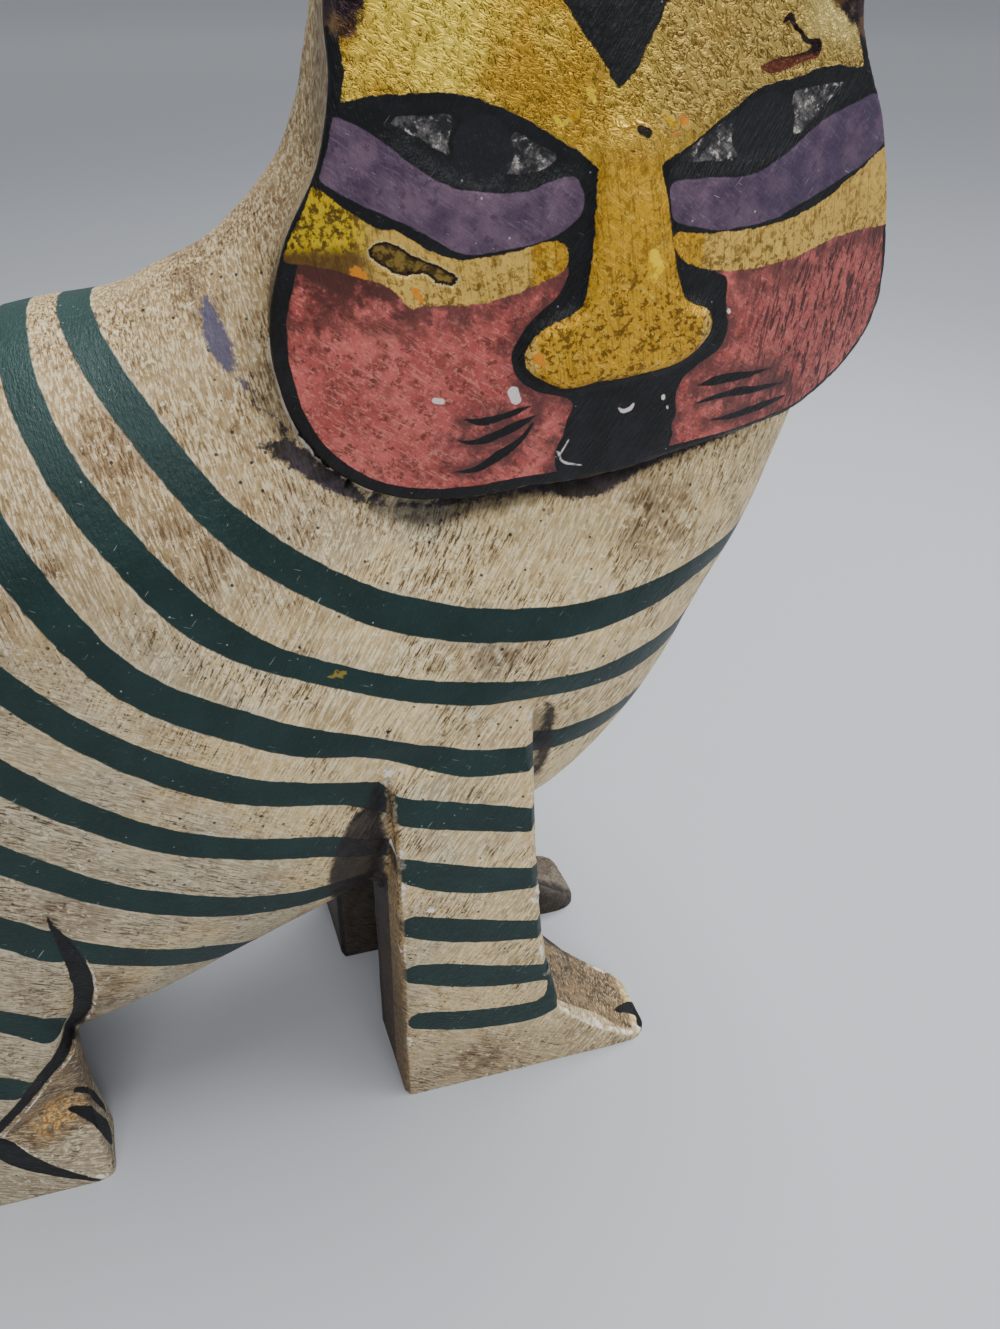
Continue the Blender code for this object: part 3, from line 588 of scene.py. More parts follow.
class Carving:
    """The carver's form as one signed field: below zero in the wood."""

    def __init__(self):
        self.body = Outline(smooth_loop(BODY_OUTLINE))
        self.face = Outline(smooth_loop(FACE_OUTLINE, 4))
        self.front = Outline(np.array(FRONT_LEG))
        self.hind = Outline(smooth_path(HIND_LEG, 3))
        self.nose = painted_shape(NOSE)
        self.eyes = [painted_shape(LEFT_EYE), painted_shape(RIGHT_EYE)]
        self.peel = painted_shape(PEELED_PATCH)

    def face_front(self, across, up):
        sag = (across / FACE_HALF_WIDTH) ** 2 + FACE_SAG_UP * (up / FACE_HALF_HEIGHT) ** 2
        nose = NOSE_RELIEF * eased(-self.nose(across, up), -NOSE_SLOPE, NOSE_SLOPE)
        eye = np.minimum(*[shape(across, up) for shape in self.eyes])
        sunk = EYE_SUNK * eased(-eye, -EYE_FADE, EYE_FADE)
        sunk = sunk + PEEL_SUNK * eased(-self.peel(across, up), -PAINT_GRID, PAINT_GRID)
        return NOSE_RELIEF - HALF - NOSE_PROUD + FACE_SAG * sag - nose + sunk

    def leg_step(self, x, z):
        """How far the trunk falls back around the front leg's upper end."""
        forward = ramp(x, LEG_STEP_TOP_FROM_X, LEG_STEP_TOP_TO_X)
        top = LEG_STEP_TOP_BACK + (LEG_STEP_TOP_FRONT - LEG_STEP_TOP_BACK) * forward
        depth = LEG_STEP * ramp(top - z, 0, LEG_STEP_EASE)
        return depth * np.exp(-np.clip(self.front(x, z), 0, None) / LEG_STEP_FADE)

    def trunk(self, x, y, z, face_edge):
        away = np.clip(face_edge, 0, None)
        dent = THROAT_DENT * np.exp(-away / THROAT_FADE)
        dent = dent + THROAT_CREVICE * np.exp(-away / THROAT_CREVICE_FADE)
        half = np.where(y < 0, HALF - dent, HALF) - self.leg_step(x, z)
        return rounded_over(self.body(x, z), np.abs(y), half, BODY_ROUND)

    def head(self, across, y, up, face_edge):
        front = self.face_front(across, up)
        edge = face_edge + HEAD_DRAFT * (y - front)
        back = rounded_over(edge, np.clip(y, 0, None), HALF, HEAD_ROUND)
        wall = np.where(y > 0, back, edge)
        return soft_max(wall, front - y, PLATE_ARRIS)

    def leg(self, outline, x, y, z, toe_x, narrows, corner_line, slope, splay=0.0):
        wider = np.where(y > 0, FAR_LEG_WIDER, 0) * ramp(x, FAR_LEG_WIDER_TO_X, 0)
        x = x + LEG_SKEW * (y + HALF) + wider
        side = np.abs(y) - np.where(y < 0, splay, 0) * ramp(z, SPLAY_FROM_Z, SOLE_Z)
        less, narrow_from, narrow_to = narrows
        less = less * ramp(x, narrow_from, narrow_to)
        half = LEG_THICK / 2 - less
        off_middle = np.abs(side - HALF + LEG_THICK / 2 - np.where(y < 0, less, -less))
        slab = np.cbrt(np.clip(x - toe_x, 0, None) ** 3 + off_middle ** 3) - half
        lean = LEG_LEAN * np.clip(z - LEG_LEAN_FROM, 0, None)
        facet = side - HALF + notch_depth(x, z, corner_line, slope) + lean
        thigh = (ramp(x, THIGH_ROUND_FROM_X, THIGH_ROUND_TO_X)
                 * ramp(z, THIGH_ROUND_FROM_Z, THIGH_ROUND_TO_Z))
        blunt = ARRIS + THIGH_ROUND * thigh
        return soft_max(soft_max(outline(x, z), slab, blunt), facet, ARRIS)

    def ear_edge(self, across, up):
        off = np.abs(across)
        inner, outer, tip = np.array(EAR_BASE[0]), np.array(EAR_BASE[1]), np.array(EAR_TIP)
        sides = (half_plane(off, up, tip, inner), half_plane(off, up, outer, tip))
        return np.maximum(soft_max(*sides, EAR_TIP_ROUND), EAR_ROOT - up)

    def ear(self, across, y, up):
        edge = self.ear_edge(across, up)
        hollow = EAR_HOLLOW * eased(-edge, EAR_RIM, EAR_RIM + EAR_RIM_FADE)
        slab = np.where(y < EAR_MIDDLE, EAR_MIDDLE - y + hollow, y - EAR_MIDDLE) - EAR_THICK / 2
        return soft_max(edge, slab, EAR_EDGE_ROUND)

    def tail(self, x, y, z):
        path = smooth_path(TAIL_PATH)
        found = np.full(np.shape(x), 1.0)
        for i, (a, b) in enumerate(zip(path, path[1:])):
            radius = TAIL_RADIUS + (TAIL_TIP_RADIUS - TAIL_RADIUS) * i / (len(path) - 1)
            found = np.minimum(found, np.hypot(segment_distance(x, z, a, b), y) - radius)
        return found

    def __call__(self, p):
        x, y, z = p[:, 0], p[:, 1], p[:, 2]
        across, up = face_place(x, z)
        face_edge = self.face(across, up)
        wood = self.trunk(x, y, z, face_edge)
        behind = ramp(y, -NECK_BLEND_FADE, 0)
        blend = NECK_BLEND_FRONT + (NECK_BLEND_BACK - NECK_BLEND_FRONT) * behind
        wood = soft_min(wood, self.head(across, y, up, face_edge), blend)
        front = self.leg(self.front, x, y, z, FRONT_TOE_X, FRONT_TOE_NARROWS, FRONT_NOTCH, FRONT_FACET)
        hind = self.leg(self.hind, x, y, z, HIND_TOE_X, HIND_TOE_NARROWS, HIND_NOTCH, HIND_FACET,
                        NEAR_HIND_SPLAY)
        wood = soft_min(soft_min(wood, front, LEG_BLEND), hind, LEG_BLEND)
        wood = soft_min(wood, self.ear(across, y, up), EAR_BLEND)
        wood = soft_min(wood, self.tail(x, y, z), TAIL_BLEND)
        groove = band(HAUNCH_LINE, x, z)
        return wood + LINE_GROOVE * eased(groove, -LINE_GROOVE_FADE, LINE_GROOVE_FADE)


def places(mesh, what="co"):
    found = np.empty(len(mesh.vertices) * 3)
    mesh.vertices.foreach_get(what, found)
    return found.reshape(-1, 3)


def normals(mesh):
    return places(mesh, "normal")


def put(mesh, p):
    mesh.vertices.foreach_set("co", p.ravel())
    mesh.update()


def slope_of(form, p):
    slope = np.empty_like(p)
    for axis in range(3):
        step = np.zeros(3)
        step[axis] = PROBE
        slope[:, axis] = (form(p + step) - form(p - step)) / (2 * PROBE)
    return slope


def carve(mesh, form, even_rounds, last_rounds):
    """Evens the points out, then moves each along the form's slope till it lies on its surface."""
    p = places(mesh)
    edges = np.empty(len(mesh.edges) * 2, int)
    mesh.edges.foreach_get("vertices", edges)
    a, b = edges.reshape(-1, 2).T
    count = np.bincount(a, minlength=len(p)) + np.bincount(b, minlength=len(p))
    for turn in range(even_rounds + last_rounds):
        if turn < even_rounds:
            total = np.stack([np.bincount(a, p[b, axis], len(p)) + np.bincount(b, p[a, axis], len(p))
                              for axis in range(3)], axis=1)
            p += EVEN_SHARE * (total / count[:, None] - p)
        slope = slope_of(form, p)
        steep = np.maximum((slope ** 2).sum(1), LEAST_SLOPE)
        step = (form(p) / steep)[:, None] * slope
        length = np.linalg.norm(step, axis=1, keepdims=True)
        p -= step * (MOST_STEP / np.maximum(length, MOST_STEP))
    put(mesh, p)


def evaluated_mesh(owner):
    graph = bpy.context.evaluated_depsgraph_get()
    return bpy.data.meshes.new_from_object(owner.evaluated_get(graph))


def rough_cat(node, shift):
    """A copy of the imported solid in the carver's measures, its feet run on below the floor."""
    work = bmesh.new()
    work.from_mesh(node.data)
    bmesh.ops.remove_doubles(work, verts=work.verts, dist=MERGE)
    mesh = bpy.data.meshes.new("cat_wood")
    work.to_mesh(mesh)
    work.free()
    mesh.materials.clear()
    p = places(mesh) - shift
    p[p[:, 2] < SOLE_Z + MERGE, 2] = SOLE_Z - SOLE_STRETCH
    put(mesh, p)
    cat = bpy.data.objects.new("cat_carving", mesh)
    bpy.context.scene.collection.objects.link(cat)
    remesh = cat.modifiers.new("even skin", "REMESH")
    remesh.mode = "VOXEL"
    remesh.voxel_size = VOXEL
    cat.data = evaluated_mesh(cat)
    cat.modifiers.clear()
    return cat


def finer(mesh, chosen, cuts):
    """The faces between the chosen points cut smaller."""
    work = bmesh.new()
    work.from_mesh(mesh)
    work.verts.ensure_lookup_table()
    edges = [e for e in work.edges if chosen[e.verts[0].index] and chosen[e.verts[1].index]]
    bmesh.ops.subdivide_edges(work, edges=edges, cuts=cuts, use_grid_fill=True)
    bmesh.ops.triangulate(work, faces=[f for f in work.faces if len(f.verts) > 4])
    work.to_mesh(mesh)
    work.free()


def flat_soles(mesh):
    """A level cut under the feet, closed again."""
    work = bmesh.new()
    work.from_mesh(mesh)
    whole = work.verts[:] + work.edges[:] + work.faces[:]
    bmesh.ops.bisect_plane(work, geom=whole, plane_co=(0, 0, SOLE_Z), plane_no=(0, 0, 1),
                           clear_inner=True)
    rims = [e for e in work.edges if e.is_boundary]
    bmesh.ops.holes_fill(work, edges=rims, sides=0)
    bmesh.ops.triangulate(work, faces=work.faces[:])
    bmesh.ops.recalc_face_normals(work, faces=work.faces[:])
    work.to_mesh(mesh)
    work.free()


class Nodes:
    """Short hand for the nodes of one tree."""

    def __init__(self, tree):
        self.tree = tree

    def node(self, kind, **settings):
        made = self.tree.nodes.new(kind)
        for name, value in settings.items():
            setattr(made, name, value)
        return made

    def set(self, socket, value):
        if isinstance(value, bpy.types.NodeSocket):
            self.tree.links.new(value, socket)
        elif hasattr(socket.default_value, "__len__") and not hasattr(value, "__len__"):
            socket.default_value = [value] * len(socket.default_value)
        else:
            socket.default_value = value

    def feed(self, made, values, out=0):
        """A node's inputs set or linked by name or number, and one of its outputs given back."""
        for socket, value in values:
            self.set(made.inputs[socket], value)
        return made.outputs[out]


def knife_work(piece, depth, size, seed, finish):
    """Geometry nodes that dent the whole surface with the broad shallow cuts of a knife."""
    g = Nodes(bpy.data.node_groups.new("knife_work", "GeometryNodeTree"))
    ends = (("Wood", "Geometry", "INPUT", None), ("Depth", "Float", "INPUT", depth),
            ("Size", "Float", "INPUT", size), ("Seed", "Int", "INPUT", seed),
            ("Finish", "Material", "INPUT", finish), ("Wood", "Geometry", "OUTPUT", None))
    settings = {}
    for name, kind, way, value in ends:
        socket = g.tree.interface.new_socket(name, in_out=way, socket_type="NodeSocket" + kind)
        if value is not None:
            settings[socket.identifier] = value
    given = g.node("NodeGroupInput").outputs
    place = g.node("GeometryNodeInputPosition").outputs[0]
    normal = g.node("GeometryNodeInputNormal").outputs[0]
    divide = g.node("ShaderNodeVectorMath", operation="DIVIDE")
    scaled = g.feed(divide, ((0, place), (1, given["Size"])))
    cuts = g.feed(g.node("ShaderNodeTexNoise", noise_dimensions="4D"),
                  (("Vector", scaled), ("W", given["Seed"]), ("Scale", 1), ("Detail", KNIFE_DETAIL)))
    centred = g.feed(g.node("ShaderNodeMath", operation="SUBTRACT"), ((0, cuts), (1, 0.5)))
    deep = g.feed(g.node("ShaderNodeMath", operation="MULTIPLY"),
                  ((0, centred), (1, given["Depth"])))
    dent = g.feed(g.node("ShaderNodeVectorMath", operation="SCALE"),
                  ((0, normal), ("Scale", deep)))
    moved = g.feed(g.node("GeometryNodeSetPosition"),
                   (("Geometry", given["Wood"]), ("Offset", dent)))
    whole = g.feed(g.node("GeometryNodeRealizeInstances"), (("Geometry", moved),))
    coated = g.feed(g.node("GeometryNodeSetMaterial"),
                    (("Geometry", whole), ("Material", given["Finish"])))
    g.tree.links.new(coated, g.node("NodeGroupOutput").inputs[0])
    cut = piece.modifiers.new("knife work", "NODES")
    cut.node_group = g.tree
    for identifier, value in settings.items():
        cut[identifier] = value
    piece.data = evaluated_mesh(piece)
    piece.modifiers.clear()


def ellipse(x, z, wide, high):
    turn = np.arange(IRIS_CORNERS) * 2 * np.pi / IRIS_CORNERS
    return np.stack([x + wide * np.cos(turn), z + high * np.sin(turn)], axis=1)


def toe_fronts(p):
    """The front ends of the hind feet."""
    x, z = p[:, 0], p[:, 2]
    return (x > TOE_FRONT_X[0]) & (x < TOE_FRONT_X[1]) & (z < TOE_FRONT_TOP)


def off_flat(p, n, form, reach):
    """0 on flat wood. It rises in a crevice, probed outwards, or on an arris, probed inwards."""
    return np.clip(1 - form(p + n * reach) / reach, -1, 1)


def near_face(p, form):
    across, up = face_place(p[:, 0], p[:, 2])
    return (form.face(across, up) < FACE_REACH) & (p[:, 1] < form.face_front(across, up) + FACE_SKIN)


def near_whiskers(p, form):
    across, up = face_place(p[:, 0], p[:, 2])
    strokes = WHISKERS + FACE_CHIPS + YELLOW_DABS + FACE_DOTS + (PEELED_CRACK,)
    drawn = bands(strokes, across, up) > -STROKE_REACH
    return drawn & (p[:, 1] < form.face_front(across, up) + FACE_SKIN)


def near_edges(mesh, form):
    """Points on a crisp arris or a cut line, off the face."""
    p = places(mesh)
    crisp = off_flat(p, normals(mesh), form, -ARRIS_PROBE) > CRISP
    lines = (HAUNCH_LINE, HOCK_LINE, NAIL_HOLE) + LIGHT_RIDGES + SIDE_CHIPS
    drawn = (bands(lines, p[:, 0], p[:, 2]) > -LINE_REACH) | toe_fronts(p)
    return (crisp | drawn) & ~near_face(p, form) & (p[:, 2] < EARS_FROM_Z)


def face_marks(form, across, up, face_edge):
    """How far inside each of the face's painted shapes every place lies."""

    def inside(*shapes, steps=4):
        return np.max([-painted_shape(shape, steps)(across, up) for shape in shapes], axis=0)

    on_plate = -face_edge
    border = BORDER_LEFT + (BORDER_RIGHT - BORDER_LEFT) * eased(across, BORDER_FROM, BORDER_TO)
    forehead = np.minimum(inside(FOREHEAD), -inside(FOREHEAD_WEDGE, steps=0))
    forehead = np.minimum(forehead, on_plate - BORDER_TOP)
    left_band = np.minimum(inside(LEFT_GOLD), on_plate - BORDER_TOP * BAND_BORDER)
    left_lid = np.minimum(inside(LEFT_PURPLE), on_plate - BORDER_TOP * LID_BORDER)
    whites = inside(LEFT_EYE_OUTER, LEFT_EYE_INNER, RIGHT_EYE_INNER, RIGHT_EYE_OUTER, steps=2)
    irises = inside(*[ellipse(*iris) for iris in IRIS])
    in_ear = -form.ear_edge(across, up) - EAR_RIM * HOLLOW_RIM
    return {
        "cheek": np.minimum(inside(LEFT_CHEEK, RIGHT_CHEEK, steps=0), on_plate - border),
        "muzzle": np.maximum(inside(MUZZLE), bands(WHISKERS, across, up)),
        "purple": np.maximum(left_lid, inside(RIGHT_PURPLE)),
        "gold": np.max([forehead, inside(NOSE), left_band, inside(RIGHT_GOLD)], axis=0),
        "eye_white": whites,
        "iris": np.minimum(irises, inside(LEFT_EYE, RIGHT_EYE)),
        "peel": inside(PEELED_PATCH),
        "ear_hollow": np.maximum(inside(LEFT_HOLLOW, RIGHT_HOLLOW),
                                 np.where(up > HOLLOW_FROM, in_ear, CLEAR)),
        "face_dot": bands(FACE_DOTS, across, up),
        "face_chip": bands(FACE_CHIPS, across, up),
        "yellow_dab": bands(YELLOW_DABS, across, up),
        "orange_dab": bands(ORANGE_DABS, across, up),
        "crack": band(PEELED_CRACK, across, up),
    }


def body_marks(form, p, n):
    """How far inside each painted or worn place, or place of painted shade, of the body and legs every
    point lies.
    """
    x, y, z = p.T
    off_middle = np.abs(y)
    outward = np.where(y < 0, -n[:, 1], n[:, 1])
    toe_black = -painted_shape(TOE_BLACK, 0)(x, off_middle)
    wedges = np.max([-painted_shape(wedge)(off_middle, z) for wedge in TOE_WEDGES], axis=0)
    leg_x = x + LEG_SKEW * (y + HALF) + np.where(y > 0, FAR_LEG_WIDER, 0)
    # The backward-facing rear of the front legs, for painted shade.
    heel = (-n[:, 0] - HEEL_TURN - HEEL_TOP_FADE * np.clip(z - HEEL_TOP, 0, None)
            - HEEL_X_FADE * np.clip(np.abs(leg_x) - HEEL_X, 0, None))
    instep = np.minimum(INSTEP_FADE * (n @ INSTEP_FACES - INSTEP_TURN),
                        np.interp(x, BEVEL_X, BEVEL_Y) - off_middle)
    on_instep = (x > INSTEP_FROM_X) & (z < INSTEP_TOP)
    on_shin = (x > SHIN_X[0]) & (x < SHIN_X[1]) & (off_middle > SHIN_FROM_Y)
    in_slot = (z < SLOT_TOP) & (x > SLOT_FROM_X)
    may_wear = (z < WORN_TOP) & (x > WORN_FROM_X)
    return {
        "stripe": np.minimum(bands(STRIPES + LEG_STRIPES, x, z),
                             outward * STRIPE_TURN + STRIPE_TURN_FROM),
        "black_line": bands((HAUNCH_LINE, HOCK_LINE, NAIL_HOLE), x, z),
        "toe_black": np.where(z < TOE_BLACK_TOP, toe_black, CLEAR),
        "toe_wedge": np.where(toe_fronts(p), wedges, CLEAR),
        "toe_tip": np.where(z < TIP_TOP, x + TIP_LEAN * (TIP_TOP - z) - TIP_X, CLEAR),
        "side_chip": bands(SIDE_CHIPS, x, z),
        "smear": band(YELLOW_SMEAR, x, z),
        # Painted shadow under the chin and a purple smudge, thinning on the far side.
        "throat": bands(THROAT_SHADOW_AND_SMUDGES, x, z) - SHADOW_AND_SMUDGE_THINS * ramp(y, *SHADOW_AND_SMUDGE_THINS_Y),
        "armpit": bands(ARMPIT_SHADES, x, z),
        "heel": heel,
        # The slot between the legs, for painted shade.
        "inner": np.where(in_slot, SLOT_HALF - off_middle, CLEAR),
        "instep": np.where(on_instep, instep, CLEAR),
        "ridge": bands(LIGHT_RIDGES, x, z),
        "shin": np.where(on_shin, notch_depth(x, z, HIND_NOTCH, 1.0), SHIN_CLEAR) - SHIN_EDGE,
        # Concavity, for painted shade and dirt in the crevices.
        "crevice": off_flat(p, n, form, CREVICE_PROBE),
        "arris": np.where(may_wear, off_flat(p, n, form, -ARRIS_PROBE), -1),
    }


def paint_marks(mesh, form):
    """Keeps every painted and worn place, and every place of painted shade, on the mesh, as a mark for
    the finish.
    """
    p, n = places(mesh), normals(mesh)
    x, y, z = p.T
    across, up = face_place(x, z)
    front = form.face_front(across, up)
    face_edge = form.face(across, up)
    rim = RIM_WIDE - face_edge - HEAD_DRAFT * (y - front)
    marks = {
        "plate": np.minimum(-face_edge, front - y) + PLATE_FRONT_DEPTH,
        "ear_front": EAR_MIDDLE - EAR_THICK * EAR_FRONT - y,
        "rim": np.where((up < RIM_TOP) & (y < RIM_NEAR_Y), rim, CLEAR),
        **face_marks(form, across, up, face_edge),
        **body_marks(form, p, n),
    }
    for name, value in marks.items():
        mark = mesh.attributes.new(name, "FLOAT", "POINT")
        mark.data.foreach_set("value", value.astype(np.float32))
    where = mesh.attributes.new("face_place", "FLOAT_VECTOR", "POINT")
    where.data.foreach_set("vector", np.stack([across, up, y], axis=1).astype(np.float32).ravel())


def carved_cat(node, shift, finish):
    """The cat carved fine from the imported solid, finer still on its edges and its face."""
    form = Carving()
    cat = rough_cat(node, shift)
    carve(cat.data, form, even_rounds=5, last_rounds=3)
    finer(cat.data, near_edges(cat.data, form), cuts=1)
    finer(cat.data, near_face(places(cat.data), form), cuts=2)
    carve(cat.data, form, even_rounds=2, last_rounds=2)
    finer(cat.data, near_whiskers(places(cat.data), form), cuts=1)
    carve(cat.data, form, even_rounds=1, last_rounds=2)
    knife_work(cat, KNIFE_DEPTH, KNIFE_SIZE, KNIFE_SEED, finish)
    flat_soles(cat.data)
    paint_marks(cat.data, form)
    put(cat.data, np.clip(places(cat.data) + shift, *np.array(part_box("cat"))))
    cat.data.shade_smooth()
    return cat


def shade(red, green, blue):
    """A colour from the 0 to 255 values of a painter's chart."""
    chart = np.array((red, green, blue)) / 255
    linear = np.where(chart <= 0.04045, chart / 12.92, ((chart + 0.055) / 1.055) ** 2.4)
    return (*linear, 1)


class Finish(Nodes):
    """Short hand for a material. Its methods give back output sockets."""

    def __init__(self, name):
        self.material = bpy.data.materials.new(name)
        self.material.use_nodes = True
        super().__init__(self.material.node_tree)
        self.shader = self.tree.nodes["Principled BSDF"]
        self.place = self.node("ShaderNodeTexCoord").outputs["Object"]

    def mark(self, name, out="Fac"):
        return self.node("ShaderNodeAttribute", attribute_name=name).outputs[out]

    def math(self, how, a, b=0.0, c=0.0):
        return self.feed(self.node("ShaderNodeMath", operation=how), enumerate((a, b, c)))

    def times(self, *shares):
        return functools.reduce(lambda a, b: self.math("MULTIPLY", a, b), shares)

    def most(self, *shares):
        return functools.reduce(lambda a, b: self.math("MAXIMUM", a, b), shares)

    def plus(self, a, b):
        return self.math("ADD", a, b)

    def scaled(self, a, by, onto=0.0):
        return self.math("MULTIPLY_ADD", a, by, onto)

    def parts(self, vector):
        made = self.node("ShaderNodeSeparateXYZ")
        self.feed(made, ((0, vector),))
        return made.outputs

    def noise(self, size, detail=3.0, rough=0.55, vector=None, warp=0.0):
        return self.feed(self.node("ShaderNodeTexNoise"),
                         (("Vector", self.place if vector is None else vector), ("Scale", 1 / size),
                          ("Detail", detail), ("Roughness", rough), ("Distortion", warp)), "Fac")

    def cells(self, size):
        return self.feed(self.node("ShaderNodeTexVoronoi"),
                         (("Vector", self.place), ("Scale", 1 / size)), "Distance")

    def strokes(self, lean, long, wide, detail=3, rough=0.62, warp=0.0, deep=0.0012):
        """Noise drawn out along brush strokes, leaning by so many degrees in the side plane."""
        turned = self.node("ShaderNodeMapping", vector_type="TEXTURE")
        along = self.feed(turned, (("Vector", self.place), ("Scale", (long, deep, wide)),
                                   ("Rotation", (0, np.radians(lean), 0))))
        return self.noise(1, detail, rough, along, warp)

    def ease(self, value, start, end, low=0.0, high=1.0):
        made = self.node("ShaderNodeMapRange", interpolation_type="SMOOTHSTEP")
        return self.feed(made, enumerate((value, start, end, low, high)))

    def mix(self, share, *colours):
        """Two colours mixed. A colour is a socket, or its three chart values."""
        under, over = (c if isinstance(c, bpy.types.NodeSocket) else shade(*c) for c in colours)
        made = self.node("ShaderNodeMix", data_type="RGBA")
        return self.feed(made, ((0, share), (6, under), (7, over)), 2)

    def coats(self, colour, *coats):
        """Each coat's colour laid over what is under it, as far as its cover goes."""
        for cover, over in coats:
            colour = self.mix(cover, colour, over)
        return colour

    def blend(self, share, a, b):
        return self.feed(self.node("ShaderNodeMix", data_type="FLOAT"), ((0, share), (2, a), (3, b)))

    def distance(self, point, flat=(1, 1, 1)):
        level = self.feed(self.node("ShaderNodeVectorMath", operation="MULTIPLY"),
                          ((0, self.place), (1, flat)))
        return self.feed(self.node("ShaderNodeVectorMath", operation="DISTANCE"),
                         ((0, level), (1, point)), "Value")

    def stain(self, along, up, reach):
        """A soft round patch on the side, placed in the carver's millimetres."""
        centre = (along * MM + shift[0], 0, up * MM + shift[2])
        return self.ease(self.distance(centre, (1, 0, 1)), reach * MM, reach * MM * STAIN_CORE)

    def edge(self, name, wobble, soft=0.00012, out=0.0):
        """A painted shape's cover, 0 to 1, with a wobbling brush edge."""
        return self.ease(self.plus(self.mark(name), wobble), out - soft, out + soft)


class CatPaint(Finish):
    """The patterns and covers that the cat's coats of paint share."""

    def __init__(self):
        super().__init__("painted_wood_worn")
        self.patch = self.noise(0.040, 4, 0.55)
        self.blotch = self.noise(0.011, 5, 0.62)
        self.grain = self.noise(0.0042, 4, 0.65)
        self.fleck = self.noise(0.0015, 3, 0.6)
        self.fine = self.noise(0.0007, 2, 0.6)
        self.wobble = self.scaled(self.noise(0.0035, 3), 0.0008, -0.0004)
        self.ragged = self.scaled(self.noise(0.0014, 5, 0.7), 0.0034, -0.0017)
        self.smoky = self.scaled(self.noise(0.0030, 5, 0.7), 0.0080, -0.0040)
        self.x, self.y, self.z = self.parts(self.place)
        self.across, self.up = self.parts(self.mark("face_place", "Vector"))[:2]
        self.far = self.ease(self.y, 0.0, 0.001)
        self.flank = self.ease(self.scaled(self.z, 0.6, self.x), 0.115, 0.060)
        self.neck = self.times(self.ease(self.scaled(self.z, -0.35, self.x), -0.010, -0.045),
                               self.ease(self.z, 0.150, 0.190))
        self.upright = self.strokes(-100, 0.0060, 0.00044, warp=0.4)
        self.falling = self.strokes(34, 0.0034, 0.00042, warp=1.0)
        leaning = self.strokes(-58, 0.0042, 0.00042, warp=0.6)
        on_body = self.blend(self.flank, leaning, self.falling)
        self.brushed = self.blend(self.neck, on_body, self.upright)
        hairs = self.most(self.strokes(-50, 0.0050, 0.00026, 2, 0.5, deep=0.001),
                          self.strokes(24, 0.0040, 0.00024, 2, 0.5, deep=0.001))
        self.hairs = self.ease(hairs, 0.735, 0.770)
        self.lint = self.times(self.ease(self.cells(0.0026), 0.085, 0.05),
                               self.ease(self.noise(0.010, 2), 0.48, 0.58))
        thin = self.scaled(self.fleck, 0.5, self.noise(0.005, 4, 0.7))
        self.stripe = self.times(self.edge("stripe", self.wobble, 0.00016),
                                 self.ease(thin, 0.37, 0.42))
        fold = self.strokes(30, 0.0024, 0.0011, 4, 0.6, 1.3)
        self.crease = self.math("MINIMUM", self.math("ABSOLUTE", self.scaled(fold, 2, -1)), 0.22)
        self.forehead = self.ease(self.plus(self.up, self.smoky), 0.012, 0.022)


def cream_coat(f):
    """Cream brushed dry over dark brown, stained and pitted, with painted shade on the neck, the rear
    flank and low down.
    """
    golden = f.most(f.ease(f.scaled(f.z, 2.0, f.patch), 0.74, 0.92),
                    f.ease(f.scaled(f.x, 2.0, f.patch), 0.46, 0.58))
    stains = f.times(f.most(*[f.stain(*stain) for stain in STAINS]), f.ease(f.grain, 0.36, 0.56))
    density = f.ease(f.noise(0.014, 4, 0.65), 0.42, 0.60, 0.30, 1.0)
    light = f.mix(f.flank, (252, 236, 194), (236, 222, 190))
    ink = f.mix(f.ease(f.z, 0.150, 0.185), (56, 40, 24), (88, 66, 42))
    pits = f.times(f.ease(f.cells(0.0030), 0.14, 0.09), f.ease(f.noise(0.009, 3), 0.42, 0.52))
    return f.coats(
        f.mix(golden, (184, 169, 138), (218, 190, 136)),
        # Painted shade on the neck under the head.
        (f.times(f.neck, 0.55), (150, 122, 84)),
        (f.times(f.ease(f.blotch, 0.49, 0.59), 0.42), (138, 112, 78)),
        (f.times(f.ease(f.grain, 0.42, 0.66), 0.35), (212, 192, 150)),
        # Painted shade, darker towards the floor.
        (f.ease(f.scaled(f.blotch, 0.02, f.z), 0.046, 0.014, 0.0, 0.45), (126, 106, 84)),
        (f.times(stains, 0.72), (108, 80, 50)),
        (f.times(f.ease(f.brushed, 0.515, 0.575), f.ease(stains, 0, 1, 0.66, 0.22)), light),
        (f.times(f.ease(f.brushed, 0.450, 0.418), f.most(density, stains), 0.92), ink),
        (f.times(f.ease(f.fine, 0.57, 0.65), density, 0.60), (70, 52, 34)),
        (f.times(f.ease(f.fleck, 0.62, 0.69), 0.65), (252, 242, 208)),
        # More painted shade on the rear and lower flank and on the neck.
        (f.times(f.flank, 0.22), (84, 76, 70)),
        (f.times(f.neck, 0.22), (100, 76, 50)),
        (f.times(pits, 0.9), (26, 18, 12)),
    )


